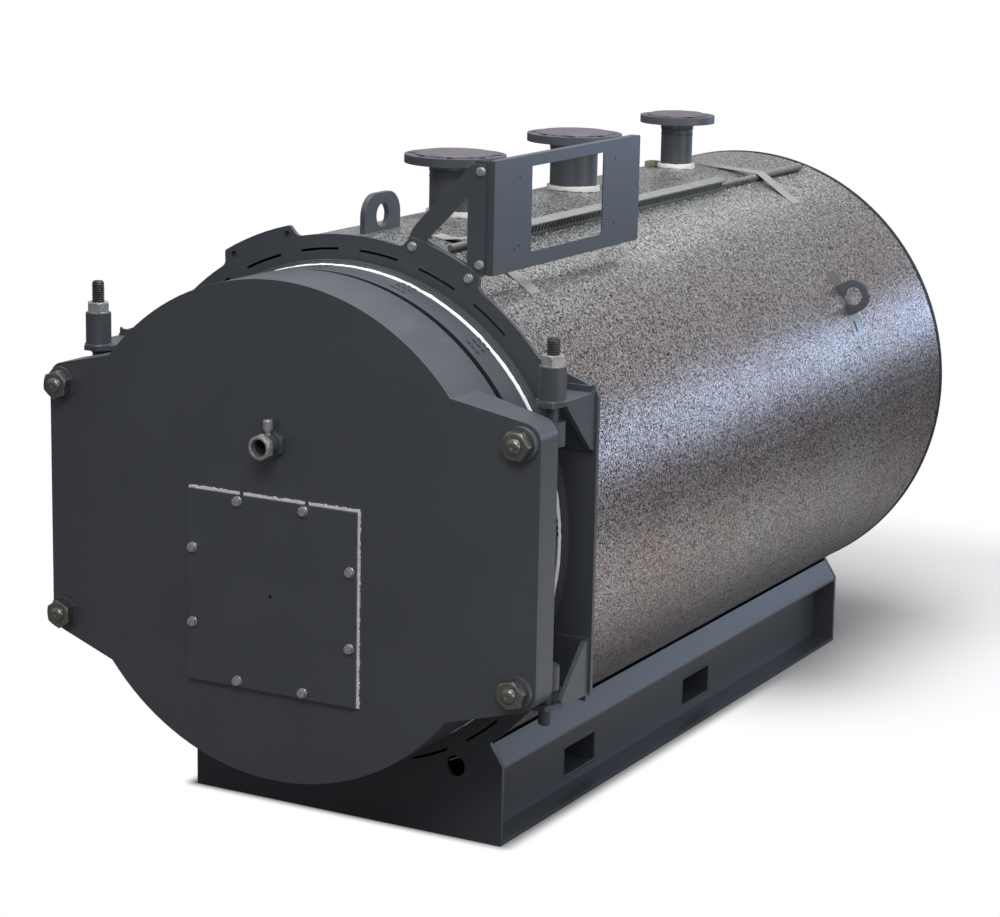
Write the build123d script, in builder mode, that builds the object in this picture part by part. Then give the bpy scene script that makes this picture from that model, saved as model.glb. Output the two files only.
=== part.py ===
from build123d import *
import math
import os

# Horizontal fire-tube hot-water boiler on a welded base, with a hinged front door.
# Millimetres, +Z up, floor at z = 0, the door faces -Y, +X is the right side seen from the front.
# Depths named y_... are measured back from the door's front face.

# Body
jacket_r = 552.5
jacket_t = 3.0
under_jacket = 100.0
axis_z = under_jacket + jacket_r
jacket_top = axis_z + jacket_r
insulation_t = 72.5
shell_r = jacket_r - insulation_t
shell_t = 8.0
y_frame = 270.0
frame_t = 10.0
y_body = y_frame + frame_t
body_len = 1948.0
y_rear_rim = y_body + body_len
cover_t = 8.0
cover_set_in = 8.0
smokebox_len = 128.0
y_rear_sheet = y_rear_rim - smokebox_len
sheet_t = 15.0
trim_h = 1.5
trim_w = 14.0

# Flue spigot on the rear cover and the duct behind it
flue_r = 125.0
flue_t = 5.0
flue_len = 110.0
duct_extra_r = 15.0

# Front frame plate
ring_over_jacket = 3.5
ring_r = jacket_r + ring_over_jacket
ring_lap = 25.0
ring_open_r = shell_r - ring_lap
tab_h = 25.0
tab_r = ring_r + tab_h
tab_root = 20.0
tab_in_a = 14.0
tab_out_a = 30.6
tab_flare_a = 2.6
tab_corner_r = 8.0
tab_blend_r = 15.0
tab_hole_r = 6.5
bolt_over_ring = 8.5
tab_bolt_r = ring_r + bolt_over_ring
tab_bolt_a1 = 15.0
tab_bolt_a2 = 29.0
slot_set_in = 29.0
slot_r = ring_r - slot_set_in
slot_count = 24
slot_bridge = 49.0
slot_w = 5.0
slot_from = 45.0

# Base
bevel_x = 338.0
bevel_z = axis_z - math.sqrt(jacket_r**2 - bevel_x**2)
bevel_w = 30.7
bevel_h = 48.0
base_half = bevel_x + bevel_w
base_side_h = bevel_z - bevel_h
cable_hole_x = 261.0
cable_hole_z = 152.0
cable_hole_r = 22.0
rear_plate_set_in = 203.0
y_rear_plate = y_rear_rim - rear_plate_set_in
rail_t = 8.0
rail_w = 53.7
rail_web_x = base_half - rail_w
rail_lip_gap = 5.6
fork_in_w = 140.0
fork_in_h = 60.0
fork_wall = 6.0
fork_y1 = 719.0
fork_y2 = 1312.0
fork_z = 60.0

# Furnace and front tube sheet
furnace_dz = -122.0
furnace_space = 240.0
furnace_r = shell_r - furnace_space
furnace_t = 10.0
turn_box_len = 200.0
furnace_end = y_rear_sheet - turn_box_len
tube_mouth_r = 25.0
tube_mouth_deep = 12.0
tube_row1_set_in = 70.0
tube_row1_r = shell_r - tube_row1_set_in
tube_row1_count = 19
tube_row1_pitch = 14.0
tube_row_gap = 88.0
tube_row2_r = tube_row1_r - tube_row_gap
tube_row2_count = 13
tube_row2_pitch = 17.0

# Door
door_set_in = 52.5
door_r = jacket_r - door_set_in
door_plate_t = 8.0
door_kink_a = 38.9
door_fold_a = 11.5
door_ear_over_stud = 38.0
door_ear_over_dz = 33.3
door_ear_r = 38.0
door_ear_deep = 104.0
door_ear_t = 8.0
drum_t = 6.0
drum_deep = 152.0
collar_step = 21.0
collar_set_in = 2.0
collar_r = door_r - collar_set_in
collar_groove = 14.0
collar_groove_r = collar_r - collar_groove
collar_w = 62.0
collar_in_r = collar_r - collar_w
throat_r = 150.0
burner_side = 388.0
burner_t = 8.0
gasket_t = 4.0
gasket_lap = 3.0
burner_pilot_r = 3.5
sight_dz = 182.0
sight_pipe_r = 21.0
sight_bore_r = 16.5
sight_len = 54.0
sight_hex_af = 45.0
sight_hex_len = 24.0
sight_base_af = 50.0
sight_base_t = 10.0
nipple_y = 20.0
nipple_r = 7.0
nipple_h = 28.0
nipple_cap_r = 9.2
nipple_cap_h = 17.0

# Seal between door and frame
seal_gap = 0.3
rope_d = 16.0
lip_t = 14.0
y_rope = y_frame - lip_t - rope_d
rope_over_collar = 1.0
rope_out_r = collar_r + rope_over_collar
rope_w = 29.0
rope_in_r = rope_out_r - rope_w
lip_lap = 8.0
lip_out_r = rope_out_r + lip_lap
lip_in_r = rope_in_r - lip_lap
lining_short = 4.0
lining_y = y_rope - lining_short

# Nozzles on top
nozzle_rise = 127.0
flange_top = jacket_top + nozzle_rise
flange_t = 18.0
neck_h = 14.0
neck_extra = 5.0
y_supply = 692.0
y_return = 1238.0
y_safety = 1785.0
dn100_od = 215.0
dn100_pipe = 108.0
dn100_pcd = 180.0
dn100_count = 8
dn65_od = 180.0
dn65_pipe = 76.0
dn65_pcd = 145.0
dn65_count = 4
flange_hole_r = 9.0
pipe_wall = 5.0
cap_t = 4.0
cap_clear = 2.0
nozzle_collar_w = 11.0
nozzle_collar_h = 5.0

# Lifting lugs
lug_t = 12.0
lug_y = 389.5
lug_w = 139.0
lug_rise = 77.0
lug_top = jacket_top + lug_rise
lug_hole_drop = 46.0
lug_hole_r = 23.5
lug_top_r = 46.0
side_lug_y = 1733.0
side_lug_angle = 30.0
side_lug_w = 78.0
side_lug_rise = 23.5
side_lug_hole_at = jacket_r + side_lug_rise
side_lug_hole_r = 21.5
lug_slot_clear = 0.3

# Clamp eye bolts, hinge pins and their brackets
stud_over_door = 25.0
stud_x = door_r + stud_over_door
stud_dz = 238.7
stud_d = 32.0
stud_out = 10.0
nut_af = 52.0
nut_h = 22.0
washer_r = 34.0
washer_t = 8.0
hinge_y = 149.0
eye_r = 26.0
eye_h = 47.0
pin_d = 26.0
pin_clear = 0.05
shelf_over_stud = 51.8
shelf_dz = stud_dz + shelf_over_stud
shelf_t = 10.0
shelf_nose = 30.0
shelf_nose_half = 15.0
shelf_cheek = 20.0
shelf_in = 8.0
bush_r = 26.0
bush_h = 66.0
bush_top_dz = shelf_dz + shelf_t + bush_h
door_ear_half = stud_x + door_ear_over_stud
door_ear_dz = stud_dz + door_ear_over_dz
ear_set_in = 3.0
ear_half = door_ear_half - ear_set_in
ear_over_shelf = 15.5
ear_corner_dz = shelf_dz + ear_over_shelf
ear_rise = 46.0
ear_root_dz = ear_corner_dz + ear_rise
ear_corner_r = 25.0
ear_blend_r = 40.0
pad_t = 8.0
pad_w = 73.0
pad_set_in = 5.0
pad_x1 = ear_half - pad_set_in
pad_x0 = pad_x1 - pad_w
pad_under_shelf = 103.5
pad_over_shelf = 22.5
pad_in_dz = shelf_dz - pad_under_shelf
pad_out_dz = shelf_dz + pad_over_shelf
gusset_t = 10.0
gusset_toe = 6.0
gusset_heel = 8.0
gusset_short = 4.0
gusset_set_back = 9.0
y_gusset = hinge_y + gusset_set_back
pin_nut_af = 41.0
pin_nut_h = 22.0
pin_past_eye = 10.2
pin_over_nut = 32.5
pin_under_shelf = 34.5
pin_end_dz = stud_dz - eye_h / 2 - pin_past_eye
pin_top_dz = bush_top_dz + pin_nut_h + pin_over_nut
pin_low_dz = shelf_dz + shelf_t + pin_under_shelf
drawn_gap = 6.0
drawn_end_dz = stud_dz + eye_h / 2 + drawn_gap
drawn_lift = 11.0
drawn_top_dz = pin_top_dz + drawn_lift

# Control panel plate and its bracket behind the right tab
bracket_t = 6.0
bracket_gap = 2.0
post_over_bolt = 27.3
post_w = 38.5
post_hole_r = 4.5
post_hole_in = 9.5
post_hole_drop = 13.0
post_hole_rise = 26.5
post_flat = 29.0
post_tail_rise = 14.0
post_tail_in = 13.0
post_tail_drop = 8.0
strut_toe = 16.0
strut_toe_rise = 12.0
strut_heel = 6.0
strut_heel_rise = 34.0
strut_start = 23.0
sill_rise1 = 13.5
sill_rise2 = 27.3
post_under_panel = 7.5
y_panel = y_body + bracket_t
panel_over_post = 17.0
panel_t = 3.0
panel_len = 637.0
panel_over_jacket = 169.5
panel_h = 222.5
panel_lip = 18.0
panel_lip_start = 12.0
panel_flange_w = 44.0
window_start = 154.0
window_len = 314.0
window_rise = 30.0
window_h = 170.0
panel_hole_dy = 418.0
panel_hole_dz = 135.0
panel_hole_r = 3.0
panel_corner_r = 6.0
tie_hole_dy = 226.0
tie_hole_drop = 72.0
tie_hole_r = 2.5

# Cable duct and conduit on the jacket
tray_angle = 71.7
tray_w = 23.0
tray_h = 27.0
tray_t = 2.0
tray_y0 = 520.0
tray_y1 = 1655.0
conduit_r = 7.5
conduit_y0 = 365.0
conduit_y1 = 2142.0
conduit_in = 60.0

# Row frame: the middle of the overall length stands at y = 0
y_back_end = y_rear_rim - cover_set_in + flue_len
shift = -(y_back_end - sight_len) / 2


def facing(y):
    # sketch plane across the boiler at depth y: local x is X, local y is Z above the axis
    return Plane(origin=(0, shift + y, axis_z), x_dir=(1, 0, 0), z_dir=(0, -1, 0))


def level(z):
    # sketch plane at height z: local x is X, local y is the depth behind the door's face
    return Plane(origin=(0, shift, z), x_dir=(1, 0, 0), z_dir=(0, 0, 1))


def side(x):
    # sketch plane along the boiler at x: local x is the depth, local y is the height
    return Plane(origin=(x, shift, 0), x_dir=(0, 1, 0), z_dir=(1, 0, 0))


def polar(r, a):
    return (r * math.cos(math.radians(a)), r * math.sin(math.radians(a)))


# Places that several pieces share
nozzles = ((y_supply, dn100_pipe), (y_return, dn100_pipe), (y_safety, dn65_pipe))
studs = [(s * stud_x, u * stud_dz) for s in (1, -1) for u in (1, -1)]
bolt1_x, bolt1_dz = polar(tab_bolt_r, 90 - tab_bolt_a1)
bolt2_x, bolt2_dz = polar(tab_bolt_r, 90 - tab_bolt_a2)
post_x = bolt2_x + post_over_bolt
post_top_dz = jacket_r + panel_over_jacket - post_under_panel
post_holes = (
    (post_x - post_hole_in, post_top_dz - post_hole_drop),
    (post_x - post_hole_in, bolt2_dz + post_hole_rise),
)
panel_x = post_x + panel_over_post
panel_z1 = jacket_top + panel_over_jacket
panel_z0 = panel_z1 - panel_h
window_y = y_panel + window_start + window_len / 2
window_z = panel_z0 + window_rise + window_h / 2


def base_outline():
    with BuildSketch(mode=Mode.PRIVATE) as outline:
        with BuildLine():
            half = Polyline(
                (0, -axis_z),
                (base_half, -axis_z),
                (base_half, base_side_h - axis_z),
                (bevel_x, bevel_z - axis_z),
                (0, bevel_z - axis_z),
            )
            mirror(half, about=Plane.YZ)
        make_face()
    return outline.sketch


def frame_ears():
    root_x = math.sqrt(ring_r**2 - ear_root_dz**2)
    with BuildSketch(mode=Mode.PRIVATE) as ears:
        with BuildLine():
            half = Polyline(
                (0, ear_root_dz),
                (root_x, ear_root_dz),
                (ear_half, ear_corner_dz),
                (ear_half, -ear_corner_dz),
                (root_x, -ear_root_dz),
                (0, -ear_root_dz),
            )
            mirror(half, about=Plane.YZ)
        make_face()
        fillet(ears.vertices().filter_by(lambda v: abs(v.X) > ear_half - 1), ear_corner_r)
    return ears.sketch


def bracket_tab(s):
    with BuildSketch(mode=Mode.PRIVATE) as tab:
        with BuildLine():
            rim = CenterArc((0, 0), tab_r, 90 - s * tab_in_a, -s * (tab_out_a - tab_in_a))
            foot = CenterArc(
                (0, 0),
                ring_r - tab_root,
                90 - s * (tab_in_a - tab_flare_a),
                -s * (tab_out_a - tab_in_a + 2 * tab_flare_a),
            )
            Line(rim @ 0, foot @ 0)
            Line(rim @ 1, foot @ 1)
        make_face()
    return tab.sketch


def ring_slots():
    with BuildSketch(mode=Mode.PRIVATE) as slots:
        Circle(slot_r + slot_w / 2)
        Circle(slot_r - slot_w / 2, mode=Mode.SUBTRACT)
        with PolarLocations(slot_r, slot_count):
            Rectangle(2 * slot_w, slot_bridge, mode=Mode.SUBTRACT)
        Rectangle(2 * ring_r, 2 * slot_r * math.sin(math.radians(slot_from)), mode=Mode.SUBTRACT)
    return slots.sketch


os.makedirs("parts", exist_ok=True)

# Front frame plate: ring round the door opening, hinge ears, bracket tabs and base front in one plate
with BuildPart() as front_frame_plate:
    with BuildSketch(facing(y_frame)) as frame_face:
        Circle(ring_r)
        add(bracket_tab(1))
        add(bracket_tab(-1))
        fillet(
            frame_face.vertices().filter_by(lambda v: abs(math.hypot(v.X, v.Y) - tab_r) < 1),
            tab_corner_r,
        )
        fillet(
            frame_face.vertices().filter_by(
                lambda v: abs(math.hypot(v.X, v.Y) - ring_r) < 1 and v.Y > ear_root_dz
            ),
            tab_blend_r,
        )
        add(frame_ears())
        fillet(
            frame_face.vertices().filter_by(lambda v: abs(abs(v.Y) - ear_root_dz) < 1),
            ear_blend_r,
        )
        add(base_outline())
        Circle(ring_open_r, mode=Mode.SUBTRACT)
        add(ring_slots(), mode=Mode.SUBTRACT)
        for s in (1, -1):
            with Locations((s * bolt1_x, bolt1_dz), (s * bolt2_x, bolt2_dz)):
                Circle(tab_hole_r, mode=Mode.SUBTRACT)
            with Locations((s * cable_hole_x, cable_hole_z - axis_z)):
                Circle(cable_hole_r, mode=Mode.SUBTRACT)
    extrude(amount=-frame_t)

# Rear saddle plate under the jacket
with BuildPart() as rear_saddle_plate:
    with BuildSketch(facing(y_rear_plate)):
        add(base_outline())
        Circle(jacket_r, mode=Mode.SUBTRACT)
    extrude(amount=-frame_t)

# Base rails: outward-facing channels with a sloped lip closing the gap under the jacket
lip_n = math.hypot(bevel_w, bevel_h)
lip_x = bevel_x + rail_lip_gap * bevel_w / lip_n
lip_z = bevel_z - rail_lip_gap * bevel_h / lip_n
with BuildPart() as base_rails:
    with BuildSketch(facing(y_body)):
        for s in (1, -1):
            Polygon(
                *[
                    (s * x, z - axis_z)
                    for x, z in (
                        (rail_web_x - rail_t, 0),
                        (base_half, 0),
                        (base_half, rail_t),
                        (rail_web_x, rail_t),
                        (rail_web_x, base_side_h - rail_t),
                        (base_half, base_side_h - rail_t),
                        (base_half, base_side_h),
                        (lip_x, lip_z),
                        (lip_x - rail_t * bevel_h / lip_n, lip_z - rail_t * bevel_w / lip_n),
                        (base_half - rail_t * lip_n / bevel_h, base_side_h),
                        (rail_web_x - rail_t, base_side_h),
                    )
                ],
                align=None,
            )
    extrude(amount=-(y_rear_plate - y_body))
    for y in (fork_y1, fork_y2):
        with Locations((0, shift + y, fork_z)):
            Box(
                2 * base_half,
                fork_in_w + 2 * fork_wall,
                fork_in_h + 2 * fork_wall,
                mode=Mode.SUBTRACT,
            )

# Fork pockets: rectangular tubes right across the base
with BuildPart() as fork_pockets:
    for y in (fork_y1, fork_y2):
        with Locations((0, shift + y, fork_z)):
            Box(2 * rail_web_x, fork_in_w + 2 * fork_wall, fork_in_h + 2 * fork_wall)
            Box(2 * rail_web_x, fork_in_w, fork_in_h, mode=Mode.SUBTRACT)

# Pressure shell and its two end sheets
with BuildPart() as pressure_shell:
    with BuildSketch(facing(y_body + sheet_t)):
        Circle(shell_r)
        Circle(shell_r - shell_t, mode=Mode.SUBTRACT)
    extrude(amount=-(y_rear_sheet - y_body - sheet_t))
    with BuildSketch(level(axis_z)):
        for y, pipe in nozzles:
            with Locations((0, y)):
                Circle(pipe / 2 - pipe_wall)
    extrude(amount=shell_r, mode=Mode.SUBTRACT)

with BuildPart() as front_tube_sheet:
    with BuildSketch(facing(y_body)):
        Circle(shell_r)
        with Locations((0, furnace_dz)):
            Circle(furnace_r, mode=Mode.SUBTRACT)
    extrude(amount=-sheet_t)
    with BuildSketch(facing(y_body)):
        for r, count, pitch in (
            (tube_row1_r, tube_row1_count, tube_row1_pitch),
            (tube_row2_r, tube_row2_count, tube_row2_pitch),
        ):
            for k in range(count):
                with Locations(polar(r, 90 + (k - (count - 1) / 2) * pitch)):
                    Circle(tube_mouth_r)
    extrude(amount=-tube_mouth_deep, mode=Mode.SUBTRACT)

with BuildPart() as rear_tube_sheet:
    with BuildSketch(facing(y_rear_sheet)):
        Circle(shell_r)
    extrude(amount=-sheet_t)

# Furnace: flame tube let into the front sheet, closed at its rear end
with BuildPart() as furnace_tube:
    with BuildSketch(facing(y_body)):
        with Locations((0, furnace_dz)):
            Circle(furnace_r)
    extrude(amount=-(furnace_end - y_body))
    with BuildSketch(facing(y_body)):
        with Locations((0, furnace_dz)):
            Circle(furnace_r - furnace_t)
    extrude(amount=-(furnace_end - y_body - furnace_t), mode=Mode.SUBTRACT)

# Galvanised jacket with cut-outs for nozzles and lugs
with BuildPart() as jacket:
    with BuildSketch(facing(y_body)):
        Circle(jacket_r)
        Circle(jacket_r - jacket_t, mode=Mode.SUBTRACT)
    extrude(amount=-body_len)
    with BuildSketch(level(axis_z)):
        for y, pipe in nozzles:
            with Locations((0, y)):
                Circle(pipe / 2 + lug_slot_clear)
        with Locations((0, lug_y)):
            Rectangle(lug_t + 2 * lug_slot_clear, lug_w + 2 * lug_slot_clear)
    extrude(amount=jacket_r, mode=Mode.SUBTRACT)
    for a in (side_lug_angle, 180 - side_lug_angle):
        with BuildSketch(facing(side_lug_y - lug_t / 2 - lug_slot_clear)):
            with Locations(Location((0, 0, 0), (0, 0, a))):
                with Locations((jacket_r, 0)):
                    Rectangle(2 * insulation_t, side_lug_w + 2 * lug_slot_clear)
        extrude(amount=-(lug_t + 2 * lug_slot_clear), mode=Mode.SUBTRACT)

# Rear cover inside the jacket's end and the dark edge trim
with BuildPart() as rear_cover:
    with BuildSketch(facing(y_rear_rim - cover_set_in - cover_t)):
        Circle(jacket_r - jacket_t)
        Circle(flue_r - flue_t, mode=Mode.SUBTRACT)
    extrude(amount=-cover_t)

with BuildPart() as rear_trim:
    with BuildSketch(facing(y_rear_rim - trim_w)):
        Circle(jacket_r + trim_h)
        Circle(jacket_r, mode=Mode.SUBTRACT)
    extrude(amount=-trim_w)

# Flue outlet: spigot welded on the cover and the duct that joins the cover to the rear sheet
with BuildPart() as flue_outlet:
    with BuildSketch(facing(y_rear_rim - cover_set_in)):
        Circle(flue_r)
        Circle(flue_r - flue_t, mode=Mode.SUBTRACT)
    extrude(amount=-flue_len)
    with BuildSketch(facing(y_rear_sheet + sheet_t)):
        Circle(flue_r + duct_extra_r)
        Circle(flue_r + duct_extra_r - flue_t, mode=Mode.SUBTRACT)
    extrude(amount=-(smokebox_len - sheet_t - cover_set_in - cover_t))

# Steel lip and white rope seal that the door's collar closes against
with BuildPart() as seal_lip:
    with BuildSketch(facing(y_rope + rope_d)):
        Circle(lip_out_r)
        Circle(lip_in_r, mode=Mode.SUBTRACT)
    extrude(amount=-lip_t)

with BuildPart() as rope_seal:
    with BuildSketch(facing(y_rope)):
        Circle(rope_out_r)
        Circle(rope_in_r, mode=Mode.SUBTRACT)
    extrude(amount=-rope_d)


# Nozzles: pipe set through the jacket onto the shell, weld-neck flange on top
def nozzle_solid(y, od, pipe, pcd, count):
    with BuildPart() as made:
        with BuildSketch(level(axis_z)):
            with Locations((0, y)):
                Circle(pipe / 2)
        extrude(amount=flange_top - axis_z)
        with BuildSketch(level(flange_top - flange_t)):
            with Locations((0, y)):
                Circle(od / 2)
                with PolarLocations(pcd / 2, count, start_angle=180 / count):
                    Circle(flange_hole_r, mode=Mode.SUBTRACT)
        extrude(amount=flange_t)
        with BuildSketch(level(flange_top - flange_t)):
            with Locations((0, y)):
                Circle(pipe / 2 + neck_extra)
        with BuildSketch(level(flange_top - flange_t - neck_h)):
            with Locations((0, y)):
                Circle(pipe / 2)
        loft()
        with BuildSketch(level(axis_z)):
            with Locations((0, y)):
                Circle(pipe / 2 - pipe_wall)
        extrude(amount=flange_top - axis_z, mode=Mode.SUBTRACT)
        with BuildSketch(facing(y - od)):
            Circle(shell_r)
        extrude(amount=-2 * od, mode=Mode.SUBTRACT)
    return made.part


with BuildPart() as supply_nozzle:
    add(nozzle_solid(y_supply, dn100_od, dn100_pipe, dn100_pcd, dn100_count))

with BuildPart() as return_nozzle:
    add(nozzle_solid(y_return, dn100_od, dn100_pipe, dn100_pcd, dn100_count))

with BuildPart() as safety_nozzle:
    add(nozzle_solid(y_safety, dn65_od, dn65_pipe, dn65_pcd, dn65_count))

# Transport caps inside the bolt circles
with BuildPart() as nozzle_caps:
    with BuildSketch(level(flange_top)):
        for y, pcd in ((y_supply, dn100_pcd), (y_return, dn100_pcd), (y_safety, dn65_pcd)):
            with Locations((0, y)):
                Circle(pcd / 2 - flange_hole_r - cap_clear)
    extrude(amount=cap_t)

# White seal collars round the pipes on the jacket
with BuildPart() as nozzle_collars:
    with BuildSketch(level(axis_z + shell_r)):
        for y, pipe in nozzles:
            with Locations((0, y)):
                Circle(pipe / 2 + nozzle_collar_w)
                Circle(pipe / 2, mode=Mode.SUBTRACT)
    extrude(amount=insulation_t + nozzle_collar_h)
    with BuildSketch(facing(y_body)):
        Circle(jacket_r)
    extrude(amount=-body_len, mode=Mode.SUBTRACT)

# Lifting lugs welded to the shell and passing through slots in the jacket
with BuildPart() as front_lifting_lug:
    with BuildSketch(side(-lug_t / 2)) as lug_face:
        with Locations((lug_y, (axis_z + lug_top) / 2)):
            Rectangle(lug_w, lug_top - axis_z)
        fillet(lug_face.vertices().filter_by(lambda v: v.Y > lug_top - 1), lug_top_r)
        with Locations((lug_y, lug_top - lug_hole_drop)):
            Circle(lug_hole_r, mode=Mode.SUBTRACT)
    extrude(amount=lug_t)
    with BuildSketch(facing(lug_y - lug_w)):
        Circle(shell_r)
    extrude(amount=-2 * lug_w, mode=Mode.SUBTRACT)

with BuildPart() as rear_lifting_lugs:
    with BuildSketch(facing(side_lug_y - lug_t / 2)):
        for a in (side_lug_angle, 180 - side_lug_angle):
            with Locations(Location((0, 0, 0), (0, 0, a))):
                with Locations((side_lug_hole_at / 2, 0)):
                    Rectangle(side_lug_hole_at, side_lug_w)
                with Locations((side_lug_hole_at, 0)):
                    Circle(side_lug_w / 2)
                    Circle(side_lug_hole_r, mode=Mode.SUBTRACT)
        Circle(shell_r, mode=Mode.SUBTRACT)
    extrude(amount=-lug_t)

# Hinge brackets on the frame's ears: back pad, shelf, gusset and the upper bush
with BuildPart() as hinge_brackets:
    for s in (1, -1):
        for u in (1, -1):
            z_shelf = axis_z + (shelf_dz if u > 0 else -shelf_dz - shelf_t)
            with BuildSketch(level(z_shelf)):
                Polygon(
                    *[
                        (s * x, y)
                        for x, y in (
                            (pad_x0 + shelf_in, y_frame - pad_t),
                            (pad_x1, y_frame - pad_t),
                            (pad_x1, hinge_y + shelf_cheek),
                            (stud_x + shelf_nose_half, hinge_y - shelf_nose),
                            (stud_x - shelf_nose_half, hinge_y - shelf_nose),
                            (pad_x0 + shelf_in, hinge_y),
                        )
                    ],
                    align=None,
                )
            extrude(amount=shelf_t)
            with BuildSketch(facing(y_frame - pad_t)):
                with Locations((s * (pad_x0 + pad_x1) / 2, u * (pad_in_dz + pad_out_dz) / 2)):
                    Rectangle(pad_w, pad_out_dz - pad_in_dz)
            extrude(amount=-pad_t)
            x_gusset = pad_x1 - gusset_t if s > 0 else -pad_x1
            with BuildSketch(side(x_gusset)):
                Polygon(
                    (y_frame - pad_t, axis_z + u * shelf_dz),
                    (y_gusset, axis_z + u * shelf_dz),
                    (y_gusset, axis_z + u * (shelf_dz - gusset_toe)),
                    (y_frame - pad_t - gusset_heel, axis_z + u * (pad_in_dz + gusset_short)),
                    (y_frame - pad_t, axis_z + u * (pad_in_dz + gusset_short)),
                    align=None,
                )
            extrude(amount=gusset_t)
        with BuildSketch(level(axis_z + shelf_dz + shelf_t)):
            with Locations((s * stud_x, hinge_y)):
                Circle(bush_r)
        extrude(amount=bush_h)
        with BuildSketch(level(axis_z - shelf_dz - shelf_t)):
            with Locations((s * stud_x, hinge_y)):
                Circle(pin_d / 2)
        extrude(amount=shelf_dz + shelf_t + bush_top_dz, mode=Mode.SUBTRACT)

# Hinge pins: the right-hand pair stands in the eyes, the left-hand pair ends clear of them
with BuildPart() as hinge_pins:
    for s, z0, z1 in (
        (1, pin_end_dz, pin_top_dz),
        (1, -pin_low_dz, -pin_end_dz),
        (-1, drawn_end_dz, drawn_top_dz),
        (-1, -pin_low_dz, -drawn_end_dz),
    ):
        with BuildSketch(level(axis_z + z0)):
            with Locations((s * stud_x, hinge_y)):
                Circle(pin_d / 2)
        extrude(amount=z1 - z0)

with BuildPart() as hinge_nuts:
    with BuildSketch(level(axis_z + bush_top_dz)):
        with Locations((stud_x, hinge_y), (-stud_x, hinge_y)):
            RegularPolygon(pin_nut_af / 2, 6, major_radius=False)
            Circle(pin_d / 2, mode=Mode.SUBTRACT)
    extrude(amount=pin_nut_h)

# Triangular bracket bolted behind the right tab: 45-degree strut, upright post and an arc over the jacket
strut_over = post_top_dz - post_x + post_flat
strut_under = strut_over - post_w * math.sqrt(2)
post_in = post_x - post_w
with BuildPart() as panel_bracket:
    with BuildSketch(facing(y_body)):
        Polygon(
            (bolt1_x - strut_toe, bolt1_dz - tab_root),
            (bolt1_x - strut_toe, bolt1_dz + strut_toe_rise),
            (bolt1_x - strut_heel, bolt1_dz + strut_heel_rise),
            (bolt1_x + strut_start, bolt1_x + strut_start + strut_over),
            (post_x - post_flat, post_top_dz),
            (post_x, post_top_dz),
            (post_x, bolt2_dz + post_tail_rise),
            (post_x - post_tail_in, bolt2_dz - post_tail_drop),
            (bolt2_x, bolt2_dz - tab_root),
            align=None,
        )
        Polygon(
            (bolt1_dz + sill_rise1 - strut_under, bolt1_dz + sill_rise1),
            (post_in, post_in + strut_under),
            (post_in, bolt2_dz + sill_rise2),
            align=None,
            mode=Mode.SUBTRACT,
        )
        Circle(jacket_r + bracket_gap, mode=Mode.SUBTRACT)
        with Locations((bolt1_x, bolt1_dz), (bolt2_x, bolt2_dz)):
            Circle(tab_hole_r, mode=Mode.SUBTRACT)
        with Locations(*post_holes):
            Circle(post_hole_r, mode=Mode.SUBTRACT)
    extrude(amount=-bracket_t)

# Sheet-metal plate for the control panel: front flange on the post, window, folded top and bottom lips
with BuildPart() as panel_plate:
    with BuildSketch(side(panel_x - panel_t)):
        with Locations((y_panel + panel_len / 2, (panel_z0 + panel_z1) / 2)):
            outline = Rectangle(panel_len, panel_h)
        fillet(outline.vertices().sort_by(Axis.X)[-2:], panel_corner_r)
        with Locations((window_y, window_z)):
            Rectangle(window_len, window_h, mode=Mode.SUBTRACT)
            with GridLocations(panel_hole_dy, panel_hole_dz, 2, 2):
                Circle(panel_hole_r, mode=Mode.SUBTRACT)
            with Locations((-tie_hole_dy, -tie_hole_drop), (tie_hole_dy, -tie_hole_drop)):
                Circle(tie_hole_r, mode=Mode.SUBTRACT)
    extrude(amount=panel_t)
    with BuildSketch(facing(y_panel)):
        with Locations((panel_x - panel_flange_w / 2, (panel_z0 + panel_z1) / 2 - axis_z)):
            Rectangle(panel_flange_w, panel_h)
        with Locations(*post_holes):
            Circle(post_hole_r, mode=Mode.SUBTRACT)
    extrude(amount=-panel_t)
    lip_len = panel_len - panel_lip_start - panel_corner_r
    for z in (panel_z0, panel_z1 - panel_t):
        with BuildSketch(level(z)):
            with Locations((panel_x - panel_lip / 2, y_panel + panel_lip_start + lip_len / 2)):
                Rectangle(panel_lip, lip_len)
        extrude(amount=panel_t)

# Cable duct lying on the jacket and the conduits that enter it at both ends
with BuildPart() as cable_tray:
    with BuildSketch(facing(tray_y0)):
        with Locations(Location((0, 0, 0), (0, 0, tray_angle))):
            with Locations((jacket_r, 0)):
                Rectangle(2 * tray_h, tray_w)
            with Locations((jacket_r + tray_h / 2, 0)):
                Rectangle(tray_h - 2 * tray_t, tray_w - 2 * tray_t, mode=Mode.SUBTRACT)
        Circle(jacket_r, mode=Mode.SUBTRACT)
    extrude(amount=-(tray_y1 - tray_y0))

with BuildPart() as conduit:
    for y0, y1 in ((conduit_y0, tray_y0 + conduit_in), (tray_y1 - conduit_in, conduit_y1)):
        with BuildSketch(facing(y0)):
            with Locations(polar(jacket_r + tray_t + conduit_r, tray_angle)):
                Circle(conduit_r)
        extrude(amount=y0 - y1)


# Door: front plate with clamp ears folded back, ear rims, drum, collar and refractory lining
kink_x, kink_dz = polar(door_r, door_kink_a)
fold_slope = math.tan(math.radians(door_fold_a))
seat_y = (stud_x - kink_x) * fold_slope - washer_t


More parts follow.
